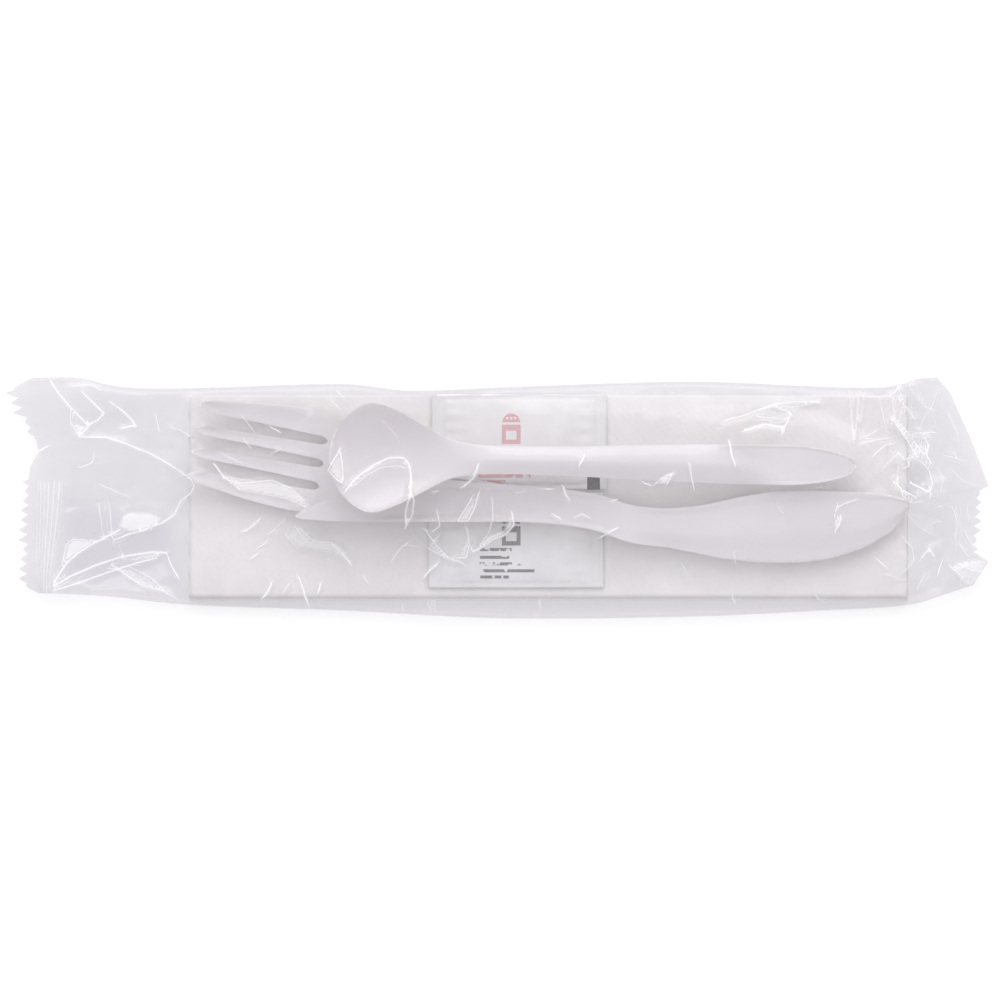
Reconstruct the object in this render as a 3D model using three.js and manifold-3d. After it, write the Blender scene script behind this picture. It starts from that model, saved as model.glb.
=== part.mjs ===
// A sealed pack of disposable cutlery: a spoon, a knife and a fork, a packet of salt and one of pepper,
// and a folded napkin, in a clear film sleeve with a seam down its back and a crimped seal at each end.
//
// Millimetres, +Z up. The pack lies on its back seam at z = 0. X runs from the fork's tines to the knife's
// tip, and the origin is under the middle of the pack.

import * as THREE from 'three';
import { mergeVertices } from 'three/addons/utils/BufferGeometryUtils.js';
import Module from 'manifold-3d';

const wasm = await Module();
wasm.setup();

const { lerp, smoothstep, degToRad, clamp } = THREE.MathUtils;

// ---- Driving dimensions -------------------------------------------------------------------------------

const GAP = 0.3; // air left under the napkin and under the packets

const FILM = {
  wall: 0.35, // stands in for a film 30 microns thick
  left: -112.5, // where the sleeve runs into its left seal
  right: 115.5, // where it runs into its right seal
  sealInset: 3, // how far the hollow stops short of each seal
  leftRise: 20, // lengths over which the back lifts to the height of each seal
  rightRise: 8,
  sideHeight: 4.4, // top of the sleeve's upright sides
  farShoulder: 3.4, // width of the slope beside the spoon, on the +Y side
  nearShoulder: 20, // width of the slope on the -Y side
  shoulderPower: 0.6, // under 1 swells the shoulders
  stations: 38,
  nearColumns: 9,
  farColumns: 2,
  columnSpread: 1.4, // over 1 crowds the columns towards the near edge
  // [x, y] along the edges, and [x, z] along the top of the pack
  farEdge: [
    [-127, 31], [-109, 31], [-98, 28.8], [-82, 28.4], [-40, 29.5], [-23, 27.8], [0, 28.6],
    [50, 30.1], [99, 28.6], [111, 31.1], [127, 30],
  ],
  nearEdge: [
    [-127, -24.5], [-103, -25.3], [-81, -27.6], [-41, -29.1], [0, -31.1], [50, -30.7],
    [83, -29.2], [107, -27.6], [116, -24.8], [127, -22],
  ],
  crown: [
    [-113, 3.6], [-105, 6.2], [-92, 9.2], [-80, 12], [-66, 15.4], [-54, 18.5], [-33, 18.7], [-12, 18.6],
    [20, 17.2], [60, 13.6], [94, 10.6], [106, 8.4], [116, 3.6],
  ],
};

const SEAL = {
  height: 2.9, // underside of both end seals above the table
  thickness: 0.7, // two films welded together
  leftEnd: -127,
  rightEnd: 127,
  overlap: 1, // how far a seal reaches into the sleeve
  ribPitch: 1.35,
  ribDepth: 0.3,
  toothPitch: 2.7,
  toothDepth: 1.9,
  leftRibs: [-120.5, -112],
  rightRibs: [116.5, 124],
  // The outline the seals are cut to: zigzags, and the plain corners after each. The left seal is
  // creased into a notch, and the right one is cut back on a slant.
  leftLow: [[-121.9, -23.2], [-121.4, 4.7]],
  notch: [[-121.2, 8], [-119.4, 11.9]],
  leftHigh: [[-119.8, 15], [-125.7, 28.6]],
  slant: [[-120.7, 31], [-100, 40], [100, 40], [113.5, 30.6], [117.1, 26.7], [122.2, 15.8], [126.9, 2.6]],
  rightLow: [[124.2, 1.6], [123, -14.2]],
  corner: [[126.9, -17.3], [123, -23.1], [100, -40], [-100, -40]],
  columns: 3,
  stationsPerMm: 2.3,
};

const FIN = { root: -1, width: 10, left: -113, right: 116, thickness: 0.35, rootWidth: 1, airGap: 0.2 };
const VENT = { x: -98, y: -9, radius: 1.2, sides: 10 }; // lets air out of the sleeve when packs are stacked
const BACK = FIN.thickness + FIN.airGap; // underside of the sleeve's back

const NAPKIN = {
  left: -79.8, right: 106, halfWidth: 26.6, paper: 0.42, airGap: 0.14, layers: 4, foldSteps: 5,
  bottom: BACK + FILM.wall + GAP,
};
const NAPKIN_TOP = NAPKIN.bottom + NAPKIN.layers * NAPKIN.paper + (NAPKIN.layers - 1) * NAPKIN.airGap;

const PACKET = {
  length: 45.2, width: 24.6, edge: 0.4, fill: 1.3, endSeal: 4, sideSeal: 2,
  endPower: 4, sidePower: 2, // how flat the fill lies, and how steeply it falls to the seals
  stations: 14, columns: 8, bottom: NAPKIN_TOP + GAP,
};
const SALT_AT = [5.5, 14.5];
const PEPPER_AT = [4.6, -10.9];

const FORK = {
  tip: [-78.3, 15], turn: -10.6, // degrees about Z
  length: 152, headEnd: 38, neck: 62, endRadius: 5,
  wall: 1.5, handleThickness: 2, cup: 1.3, // cup: how far the sides of the head stand above its middle
  tines: 4, tinePitch: 5.95, slotWidth: 2.1, slotLength: 34, tineTaper: 0.9, slotSteps: 6,
  slotStart: -5, // where the slots' cutters start, clear of the tips
  slotTop: 20, // and how high they stand
  stations: 38, columns: 10,
  // [distance from the tips, width]
  width: [
    [0, 21.5], [16, 25.2], [28, 26.4], [34, 24.4], [40, 15.5], [47, 9.6], [56, 7], [90, 7], [130, 8.4],
    [152, 8.4],
  ],
  // [distance from the tips, height of the middle of the section]
  spine: [[0, 7.2], [8, 5.1], [17, 4.4], [34, 5], [48, 6.1], [62, 6.65], [79, 6.65], [107, 6.1], [152, 5.2]],
};

const KNIFE = {
  left: -52, right: 106.3, handleThickness: 2.1, bladeThickness: 1.4, edgeThickness: 0.5,
  neck: 34, bladeStart: 46, handleRadius: 3, tipRadius: 7,
  restHeight: 7.95, slope: -0.0195, // height of its underside at x = 0, and its fall along X
  stations: 46, columns: 4,
  farEdge: [
    [-52, -3.6], [-46, -1.2], [-39, 1], [-30, 3.4], [-14, 4.6], [4, 3.4], [15, 2.6], [27, 0.6], [34, -1.7],
    [42, -2.6], [52, -1.9], [62, 0.2], [72, 1.7], [92, 1.6], [107, 0.6],
  ],
  nearEdge: [
    [-52, -5.4], [-40, -6], [-14, -6.1], [4, -6.1], [15, -6.7], [25, -8.4], [34, -11.4], [44, -12.8],
    [62, -16.2], [73, -16.8], [84, -16], [94, -13], [101, -9], [107, -4.5],
  ],
};

const SPOON = {
  tip: [-43, 10.5], turn: -1, // degrees about Z
  length: 135, bowlDepth: 5.8, tipRadius: 12, endRadius: 21,
  wall: 1.1, handleThickness: 2.2, thickening: [27, 41], // where the bowl's wall grows into the handle
  stations: 42, columns: 10,
  // [distance from the tip, height of the top of the rim and handle]
  spine: [
    [0, 17.2], [14, 17.5], [32, 17.6], [43, 17.4], [63, 16], [83, 14.4], [103, 12.6], [123, 11], [135, 9.9],
  ],
  // [distance from the tip, width]
  width: [
    [0, 26.6], [7, 27.8], [12, 27.8], [18, 23.4], [24.5, 16.6], [30, 10.8], [36, 8], [43, 7.2], [62, 7.6],
    [85, 9.4], [120, 10.4], [135, 10.4],
  ],
  // [distance from the tip, share of the bowl's depth]
  hollow: [[0, 0], [3, 0.5], [8, 0.93], [13, 1], [20, 0.75], [28, 0.22], [34, 0]],
};

const END_CROWDING = 0.6; // 0 spaces the cutlery's facets evenly, 1 crowds them at its round ends
const END_WIDTH = 0.13; // share of its width at which a round end is cut square

// ---- Helpers ------------------------------------------------------------------------------------------

// A smooth function through a few [position, value] pairs.
function through(pairs) {
  const positions = pairs.map(([position]) => position);
  const values = pairs.map(([, value]) => value);
  const curve = new THREE.CubicInterpolant(positions, values, 1);
  return (position) => curve.evaluate(clamp(position, positions[0], positions.at(-1)))[0];
}

// How much of its full width an outline has near a round end: 0 at the end, 1 a radius away from it.
function roundEnd(distance, radius) {
  const inside = clamp(1 - distance / radius, 0, 1);
  return Math.sqrt(1 - inside * inside);
}

// A share of a length, from 0 to 1, moved towards the nearer end, so that round ends get short facets.
function crowded(share) {
  return lerp(share, (1 - Math.cos(Math.PI * share)) / 2, END_CROWDING);
}

// A copy of a geometry whose faces share their corners.
function merged(geometry) {
  const bare = geometry.clone();
  bare.deleteAttribute('normal');
  bare.deleteAttribute('uv');
  return mergeVertices(bare);
}

// A closed plate: a box of stations by columns, whose every corner goes where place(u, v, w) says.
// u runs along the plate, v across it and w from its underside, 0, to its top, 1.
function plate(stations, columns, place) {
  const geometry = merged(new THREE.BoxGeometry(1, 1, 1, stations, columns, 1).translate(0.5, 0.5, 0.5));
  const corners = geometry.attributes.position;
  for (let i = 0; i < corners.count; i += 1) {
    corners.setXYZ(i, ...place(corners.getX(i), corners.getY(i), corners.getZ(i)));
  }
  return geometry;
}

function toSolid(geometry) {
  const closed = merged(geometry);
  return new wasm.Manifold(
    new wasm.Mesh({
      numProp: 3,
      vertProperties: new Float32Array(closed.attributes.position.array),
      triVerts: new Uint32Array(closed.index.array),
    }),
  );
}

function toGeometry(solid) {
  const { vertProperties, triVerts } = solid.getMesh();
  const geometry = new THREE.BufferGeometry();
  geometry.setAttribute('position', new THREE.BufferAttribute(vertProperties, 3));
  geometry.setIndex(new THREE.BufferAttribute(triVerts, 1));
  geometry.computeVertexNormals();
  return geometry;
}

// A prism of a flat outline in the XY plane, from z = bottom to z = top.
function prism(points, bottom, top) {
  const outline = new THREE.Shape(points.map(([x, y]) => new THREE.Vector2(x, y)));
  const geometry = new THREE.ExtrudeGeometry(outline, { depth: top - bottom, bevelEnabled: false });
  return geometry.translate(0, 0, bottom);
}

function block(left, right, near, far, bottom, top) {
  const geometry = new THREE.BoxGeometry(right - left, far - near, top - bottom);
  return geometry.translate((left + right) / 2, (near + far) / 2, (bottom + top) / 2);
}

// The points of a zigzag cut from one point to another, its teeth standing to the left of the line.
function zigzag(from, to) {
  const start = new THREE.Vector2(...from);
  const along = new THREE.Vector2(...to).sub(start);
  const teeth = Math.max(1, Math.round(along.length() / SEAL.toothPitch));
  const out = new THREE.Vector2(-along.y, along.x).setLength(SEAL.toothDepth);
  const points = [];
  for (let i = 0; i < teeth; i += 1) {
    const root = start.clone().addScaledVector(along, i / teeth);
    const crest = start.clone().addScaledVector(along, (i + 0.5) / teeth).add(out);
    points.push([root.x, root.y], [crest.x, crest.y]);
  }
  return points;
}

function part(name, geometry, colour, roughness, extra = {}) {
  const material = new THREE.MeshStandardMaterial({ color: colour, roughness, metalness: 0, ...extra });
  const mesh = new THREE.Mesh(geometry, material);
  mesh.name = name;
  return mesh;
}

// ---- Film sleeve --------------------------------------------------------------------------------------

const farFilm = through(FILM.farEdge);
const nearFilm = through(FILM.nearEdge);
const crown = through(FILM.crown);

// How much of a seal's height the sleeve has taken up: 1 at either seal, 0 along the pack.
function endLift(x) {
  const left = 1 - smoothstep(x, FILM.left, FILM.left + FILM.leftRise);
  const right = smoothstep(x, FILM.right - FILM.rightRise, FILM.right);
  return left + right;
}

function backHeight(x) {
  return lerp(BACK, SEAL.height, endLift(x));
}

// Height of the sleeve's outside over a point, from its distance to the two edges.
function filmHeight(x, y, far, near) {
  const side = lerp(FILM.sideHeight, SEAL.height + SEAL.thickness, endLift(x));
  const fromFar = clamp((far - y) / FILM.farShoulder, 0, 1) ** FILM.shoulderPower;
  const fromNear = clamp((y - near) / FILM.nearShoulder, 0, 1) ** FILM.shoulderPower;
  return lerp(side, Math.max(crown(x), side), Math.min(fromFar, fromNear));
}

// Where a column of the sleeve lies: the last few shape its steep far shoulder.
function acrossSleeve(v, far, near) {
  const column = v * (FILM.nearColumns + FILM.farColumns);
  const brink = far - FILM.farShoulder;
  if (column > FILM.nearColumns) {
    return lerp(brink, far, (column - FILM.nearColumns) / FILM.farColumns);
  }
  return lerp(near, brink, (column / FILM.nearColumns) ** FILM.columnSpread);
}

// The sleeve's outside, or with an inset its inside.
function sleeve(left, right, inset) {
  return plate(FILM.stations, FILM.nearColumns + FILM.farColumns, (u, v, w) => {
    const x = lerp(left, right, u);
    const far = farFilm(x);
    const near = nearFilm(x);
    const y = acrossSleeve(v, far, near);
    const height = filmHeight(x, y, far, near);
    return [x, clamp(y, near + inset, far - inset), w > 0 ? height - inset : backHeight(x) + inset];
  });
}

// One end seal: two films pressed into ribs that run across the pack.
function ribbedSeal(left, right, [firstRib, lastRib]) {
  const stations = Math.round((right - left) * SEAL.stationsPerMm);
  return plate(stations, SEAL.columns, (u, v, w) => {
    const x = lerp(left, right, u);
    const ribbed = x > firstRib && x < lastRib;
    const wave = ribbed ? Math.sin((2 * Math.PI * (x - firstRib)) / SEAL.ribPitch) : 0;
    const z = SEAL.height + SEAL.ribDepth * wave + w * SEAL.thickness;
    return [x, lerp(nearFilm(x), farFilm(x), v), z];
  });
}

// The outline of the whole film: wider than the sleeve along its length, and cut to shape at both seals.
function cutOutline() {
  return [
    ...zigzag(...SEAL.leftLow),
    ...SEAL.notch,
    ...zigzag(...SEAL.leftHigh),
    ...SEAL.slant,
    ...zigzag(...SEAL.rightLow),
    ...SEAL.corner,
  ];
}

function filmWrapper() {
  const aboveAll = 30;
  const leftSeal = ribbedSeal(SEAL.leftEnd, FILM.left + SEAL.overlap, SEAL.leftRibs);
  const rightSeal = ribbedSeal(FILM.right - SEAL.overlap, SEAL.rightEnd, SEAL.rightRibs);
  const hollow = sleeve(FILM.left + FILM.sealInset, FILM.right - FILM.sealInset, FILM.wall);
  const finTop = BACK + FILM.wall / 2;
  const fin = block(FIN.left, FIN.right, FIN.root, FIN.root + FIN.width, 0, FIN.thickness);
  const rootLeft = FILM.left + FILM.leftRise;
  const rootRight = FILM.right - FILM.rightRise;
  const finRoot = block(rootLeft, rootRight, FIN.root, FIN.root + FIN.rootWidth, 0, finTop);
  const vent = new THREE.CylinderGeometry(VENT.radius, VENT.radius, 2 * BACK + FILM.wall, VENT.sides);
  vent.rotateX(Math.PI / 2).translate(VENT.x, VENT.y, backHeight(VENT.x));
  return toGeometry(
    toSolid(sleeve(FILM.left, FILM.right, 0))
      .add(toSolid(leftSeal))
      .add(toSolid(rightSeal))
      .intersect(toSolid(prism(cutOutline(), 0, aboveAll)))
      .add(toSolid(fin))
      .add(toSolid(finRoot))
      .subtract(toSolid(hollow))
      .subtract(toSolid(vent)),
  );
}

// ---- Napkin -------------------------------------------------------------------------------------------

// The napkin's section: one sheet folded to and fro into four layers, drawn as an outline in Y and Z.
function napkin() {
  const { halfWidth, paper, airGap, layers, foldSteps, bottom, left, right } = NAPKIN;
  const pitch = paper + airGap;
  const middles = Array.from({ length: layers }, (_, i) => bottom + paper / 2 + i * pitch);
  const bend = halfWidth - pitch / 2 - paper / 2;
  // One side of the sheet, from its free edge at the bottom to the one at the top. offset is half the
  // paper's thickness to one side or the other.
  const side = (offset) => {
    const points = [];
    middles.forEach((z, i) => {
      const towards = i % 2 === 0 ? 1 : -1;
      const surface = z - offset * towards;
      if (i === 0) {
        points.push([-halfWidth, surface]);
      }
      if (i === layers - 1) {
        points.push([towards * bend, surface]);
        return;
      }
      const radius = pitch / 2 + offset * towards;
      for (let step = 0; step <= foldSteps; step += 1) {
        const angle = (Math.PI * step) / foldSteps;
        const reach = towards * (bend + radius * Math.sin(angle));
        points.push([reach, z + pitch / 2 - radius * Math.cos(angle)]);
      }
    });
    return points;
  };
  const outline = [...side(paper / 2), ...side(-paper / 2).reverse()];
  const shape = new THREE.Shape(outline.map(([y, z]) => new THREE.Vector2(y, z)));
  const geometry = new THREE.ExtrudeGeometry(shape, { depth: right - left, bevelEnabled: false });
  // The section's own X and Y become the pack's Y and Z.
  return geometry.rotateX(Math.PI / 2).rotateZ(Math.PI / 2).translate(left, 0, 0);
}

// ---- Packets ------------------------------------------------------------------------------------------

// A flat paper packet, swollen by its fill inside four flat seals.
function packet([x, y]) {
  const { length, width, edge, fill, endSeal, sideSeal, endPower, sidePower } = PACKET;
  // How far a point is from the packet's middle: 0 there, and 1 on a seal.
  const outward = (offset, size, seal) => Math.min(Math.abs(offset) / (size / 2 - seal), 1);
  return plate(PACKET.stations, PACKET.columns, (u, v, w) => {
    const along = length * (u - 0.5);
    const across = width * (v - 0.5);
    const alongFlat = 1 - outward(along, length, endSeal) ** endPower;
    const acrossFlat = 1 - outward(across, width, sideSeal) ** sidePower;
    const swell = fill * Math.sqrt(alongFlat * acrossFlat);
    return [x + along, y + across, PACKET.bottom + (w > 0 ? edge + swell : 0)];
  });
}

// ---- Cutlery ------------------------------------------------------------------------------------------

// Lays a piece modelled with its tip at the origin, along +X, where it lies in the pack.
function lay(mesh, [x, y], degrees) {
  mesh.position.set(x, y, 0);
  mesh.rotation.z = degToRad(degrees);
  return mesh;
}

function fork() {
  const height = through(FORK.spine);
  const width = through(FORK.width);
  const body = plate(FORK.stations, FORK.columns, (u, v, w) => {
    const x = FORK.length * crowded(u);
    const t = 2 * v - 1;
    const end = Math.max(roundEnd(FORK.length - x, FORK.endRadius), END_WIDTH);
    const onHandle = smoothstep(x, FORK.headEnd, FORK.neck);
    const thickness = lerp(FORK.wall, FORK.handleThickness, onHandle);
    const cupped = FORK.cup * t * t * (1 - onHandle);
    return [x, (width(x) / 2) * end * t, height(x) + cupped + (w - 0.5) * thickness];
  });
  const slots = FORK.tines - 1;
  let solid = toSolid(body);
  for (let i = 0; i < slots; i += 1) {
    const middle = (i - (slots - 1) / 2) * FORK.tinePitch;
    solid = solid.subtract(toSolid(tineSlot(middle)));
  }
  return toGeometry(solid);
}

// The gap between two tines: it tapers from their tips to a round end, and runs out past the tips.
function tineSlot(middle) {
  const round = FORK.slotWidth / 2;
  const centre = FORK.slotLength - round;
  const outline = [[FORK.slotStart, middle - round - FORK.tineTaper]];
  for (let step = 0; step <= FORK.slotSteps; step += 1) {
    const angle = Math.PI * (step / FORK.slotSteps - 0.5);
    outline.push([centre + round * Math.cos(angle), middle + round * Math.sin(angle)]);
  }
  outline.push([FORK.slotStart, middle + round + FORK.tineTaper]);
  return prism(outline, 0, FORK.slotTop);
}

function knife() {
  const far = through(KNIFE.farEdge);
  const near = through(KNIFE.nearEdge);
  return plate(KNIFE.stations, KNIFE.columns, (u, v, w) => {
    const x = lerp(KNIFE.left, KNIFE.right, crowded(u));
    const round = Math.min(
      roundEnd(x - KNIFE.left, KNIFE.handleRadius),
      roundEnd(KNIFE.right - x, KNIFE.tipRadius),
    );
    const middle = (far(x) + near(x)) / 2;
    const half = ((far(x) - near(x)) / 2) * Math.max(round, END_WIDTH);
    const t = 2 * v - 1;
    const onBlade = smoothstep(x, KNIFE.neck, KNIFE.bladeStart);
    const blade = lerp(KNIFE.bladeThickness, KNIFE.edgeThickness, clamp(-t, 0, 1));
    const thickness = lerp(KNIFE.handleThickness, blade, onBlade);
    return [x, middle + half * t, KNIFE.restHeight + KNIFE.slope * x + w * thickness];
  });
}

function spoon() {
  const rim = through(SPOON.spine);
  const width = through(SPOON.width);
  const hollow = through(SPOON.hollow);
  return plate(SPOON.stations, SPOON.columns, (u, v, w) => {
    const x = SPOON.length * crowded(u);
    const t = 2 * v - 1;
    const ends = roundEnd(x, SPOON.tipRadius) * roundEnd(SPOON.length - x, SPOON.endRadius);
    const half = (width(x) / 2) * Math.max(ends, END_WIDTH);
    const dish = SPOON.bowlDepth * hollow(x) * (1 - t * t);
    const thickness = lerp(SPOON.wall, SPOON.handleThickness, smoothstep(x, ...SPOON.thickening));
    return [x, half * t, rim(x) - dish - (1 - w) * thickness];
  });
}

// ---- The pack -----------------------------------------------------------------------------------------

const PLASTIC = 0xe9e6e6;
const PAPER = 0xefeeee;

const pack = new THREE.Group();
pack.add(
  part('film_wrapper', filmWrapper(), 0xe6e4ec, 0.12, { transparent: true, opacity: 0.25 }),
  part('paper_napkin', napkin(), PAPER, 0.95),
  part('salt_packet', packet(SALT_AT), PAPER, 0.7),
  part('pepper_packet', packet(PEPPER_AT), PAPER, 0.7),
  lay(part('fork', fork(), PLASTIC, 0.35), FORK.tip, FORK.turn),
  part('knife', knife(), PLASTIC, 0.35),
  lay(part('spoon', spoon(), PLASTIC, 0.35), SPOON.tip, SPOON.turn),
);

export default pack;
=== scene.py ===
import math
import random

import bmesh
import bpy
import numpy as np
from mathutils import Matrix, Vector, geometry
from mathutils.bvhtree import BVHTree


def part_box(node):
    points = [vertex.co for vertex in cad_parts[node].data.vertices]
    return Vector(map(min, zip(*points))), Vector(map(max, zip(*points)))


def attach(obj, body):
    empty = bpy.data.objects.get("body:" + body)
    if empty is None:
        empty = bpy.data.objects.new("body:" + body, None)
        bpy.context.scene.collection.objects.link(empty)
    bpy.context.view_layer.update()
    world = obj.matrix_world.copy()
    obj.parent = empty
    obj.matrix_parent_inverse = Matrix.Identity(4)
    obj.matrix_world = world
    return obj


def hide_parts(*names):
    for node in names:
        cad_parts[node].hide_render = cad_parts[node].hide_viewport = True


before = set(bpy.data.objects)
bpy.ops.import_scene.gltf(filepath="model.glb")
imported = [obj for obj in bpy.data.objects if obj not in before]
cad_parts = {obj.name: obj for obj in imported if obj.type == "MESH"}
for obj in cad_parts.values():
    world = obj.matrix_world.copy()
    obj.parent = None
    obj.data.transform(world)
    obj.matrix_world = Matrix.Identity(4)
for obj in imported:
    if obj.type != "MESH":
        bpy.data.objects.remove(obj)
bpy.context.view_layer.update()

# Lengths in the settings are millimetres; meshes are put in metres as they are made.
mm = 0.001


# A smooth curve through [position, value] pairs, for numbers or arrays.
def curveThrough(pairs):
    at = np.array([pair[0] for pair in pairs], float)
    value = np.array([pair[1] for pair in pairs], float)
    slope = np.zeros(len(at))
    slope[1:-1] = (value[2:] - value[:-2]) / (at[2:] - at[:-2])

    def curve(x):
        x = np.clip(x, at[0], at[-1])
        i = np.clip(np.searchsorted(at, x) - 1, 0, len(at) - 2)
        span = at[i + 1] - at[i]
        t = (x - at[i]) / span
        ends = value[i] * (1 + 2 * t) * (1 - t) ** 2 + value[i + 1] * t * t * (3 - 2 * t)
        return ends + span * (slope[i] * t * (1 - t) ** 2 - slope[i + 1] * t * t * (1 - t))

    return curve


def mix(a, b, t):
    return a + (b - a) * t


def smooth(x, start, end):
    t = np.clip((x - start) / (end - start), 0, 1)
    return t * t * (3 - 2 * t)


# 0 at a round end, 1 a radius away from it.
def roundEnd(distance, radius):
    inside = np.clip(1 - distance / radius, 0, 1)
    return np.sqrt(1 - inside**2)


# Moves shares of a length towards its two ends.
def crowdEnds(share, amount):
    return mix(share, (1 - np.cos(np.pi * share)) / 2, amount)


# A closed slab: a grid, with the faces that drop() names left out, given a thickness by extruding it.
# Its corners hold u and v from 0 to 1 and w = 0 underneath, 1 on top.
def gridSlab(along, across, drop=None):
    bm = bmesh.new()
    bmesh.ops.create_grid(bm, x_segments=along, y_segments=across, size=0.5)
    bmesh.ops.translate(bm, verts=bm.verts, vec=(0.5, 0.5, 0))
    if drop:
        gone = [f for f in bm.faces if drop(*f.calc_center_median().xy)]
        bmesh.ops.delete(bm, geom=gone, context="FACES")
    top = bmesh.ops.extrude_face_region(bm, geom=bm.faces[:])["geom"]
    top = [v for v in top if isinstance(v, bmesh.types.BMVert)]
    bmesh.ops.translate(bm, verts=top, vec=(0, 0, 1))
    bmesh.ops.recalc_face_normals(bm, faces=bm.faces)
    return bm


# Sends every corner of a slab to place(u, v, w), in millimetres.
def shapeSlab(bm, place):
    corners = np.array([v.co for v in bm.verts])
    x, y, z = place(corners[:, 0], corners[:, 1], corners[:, 2])
    for vert, point in zip(bm.verts, np.stack([x, y, z], 1) * mm):
        vert.co = point
    bm.normal_update()
    return bm


def roundRims(bm, width, segments, sharp=50):
    rims = [e for e in bm.edges if e.is_manifold and e.calc_face_angle(0) > math.radians(sharp)]
    bmesh.ops.bevel(
        bm, geom=rims, offset=width * mm, offset_type="OFFSET", segments=segments, profile=0.5,
        affect="EDGES", clamp_overlap=True, material=-1,
    )
    bm.normal_update()


# Turns a piece about Z and puts the middle of its box where the CAD node's is.
def putWhereNodeIs(bm, nodeName, turn=0):
    matrix = Matrix.Rotation(math.radians(turn), 3, "Z")
    bmesh.ops.rotate(bm, verts=bm.verts, cent=(0, 0, 0), matrix=matrix)
    points = np.array([v.co for v in bm.verts])
    low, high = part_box(nodeName)
    middle = Vector((points.min(0) + points.max(0)) / 2)
    bmesh.ops.translate(bm, verts=bm.verts, vec=(low + high) / 2 - middle)


def finishPiece(bm, name, nodeName, materials):
    mesh = bpy.data.meshes.new(name)
    bm.to_mesh(mesh)
    bm.free()
    for face in mesh.polygons:
        face.use_smooth = True
    for material in materials:
        mesh.materials.append(material)
    piece = bpy.data.objects.new(name, mesh)
    bpy.context.scene.collection.objects.link(piece)
    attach(piece, "root")
    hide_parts(nodeName)
    print("made", name, "-", len(mesh.polygons), "faces")
    return piece


def newMaterial(name):
    material = bpy.data.materials.new(name)
    material.use_nodes = True
    material.node_tree.nodes.clear()
    return material, material.node_tree


def node(tree, kind, sockets=None, **settings):
    made = tree.nodes.new("ShaderNode" + kind)
    for key, value in settings.items():
        setattr(made, key, value)
    for key, value in (sockets or {}).items():
        socket = made.inputs[key]
        if isinstance(value, bpy.types.NodeSocket):
            tree.links.new(value, socket)
        else:
            socket.default_value = value
    return made


def maths(tree, operation, first, second=0.0, third=0.0, clamp=False):
    made = node(tree, "Math", {0: first, 1: second, 2: third}, operation=operation)
    made.use_clamp = clamp
    return made.outputs[0]


def objectPoint(tree, scale=(1, 1, 1), place=(0, 0, 0), turn=0):
    point = node(tree, "TexCoord").outputs["Object"]
    mapping = node(tree, "Mapping", {"Vector": point})
    mapping.inputs["Location"].default_value = place
    mapping.inputs["Rotation"].default_value = (0, 0, turn)
    mapping.inputs["Scale"].default_value = scale
    return mapping.outputs[0]


def noiseAt(tree, point, scale, detail=3.0, rough=0.5):
    made = node(
        tree, "TexNoise",
        {"Vector": point, "Scale": scale, "Detail": detail, "Roughness": rough},
    )
    return made.outputs["Fac"]


def ramp(tree, factor, stops):
    made = node(tree, "ValToRGB", {"Fac": factor})
    elements = made.color_ramp.elements
    while len(elements) < len(stops):
        elements.new(0.5)
    for element, (position, colour) in zip(elements, stops):
        element.position = position
        element.color = (*colour, 1)
    return made.outputs["Color"]


def mixColour(tree, factor, first, second):
    made = node(tree, "Mix", data_type="RGBA")
    for key, value in ((0, factor), (6, first), (7, second)):
        socket = made.inputs[key]
        if isinstance(value, bpy.types.NodeSocket):
            tree.links.new(value, socket)
        else:
            socket.default_value = (*value, 1) if isinstance(value, tuple) else value
    return made.outputs[2]


def bump(tree, height, strength, distance, normal=None):
    sockets = {"Height": height, "Strength": strength, "Distance": distance}
    if normal is not None:
        sockets["Normal"] = normal
    return node(tree, "Bump", sockets).outputs["Normal"]


def attribute(tree, name):
    return node(tree, "Attribute", attribute_name=name).outputs["Fac"]


def mixShader(tree, factor, first, second):
    return node(tree, "MixShader", {0: factor, 1: first.outputs[0], 2: second.outputs[0]})


def output(tree, shader):
    node(tree, "OutputMaterial", {"Surface": shader.outputs[0]})


# Soft white moulded plastic: a cloudy tint, a slightly uneven gloss and a faint orange peel.
def mouldedPlastic(name, pale, dull):
    material, tree = newMaterial(name)
    clouds = noiseAt(tree, objectPoint(tree, (1, 2.5, 1)), 45, 3)
    tint = ramp(tree, clouds, [(0.35, dull), (0.65, pale)])
    flow = noiseAt(tree, objectPoint(tree, (0.25, 1, 1)), 500, 2)
    peel = noiseAt(tree, objectPoint(tree), 1100, 2)
    gloss = maths(tree, "MULTIPLY_ADD", flow, 0.14, 0.44)
    relief = maths(tree, "MULTIPLY_ADD", flow, 0.5, peel)
    shader = node(
        tree, "BsdfPrincipled",
        {
            "Base Color": tint, "Roughness": gloss, "Specular IOR Level": 0.3,
            "Normal": bump(tree, relief, 0.12, 0.0002),
        },
    )
    # thin walls let warm light through
    through = node(tree, "BsdfTranslucent", {"Color": (0.97, 0.9, 0.84, 1)})
    output(tree, mixShader(tree, 0.14, shader, through))
    return material


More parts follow.
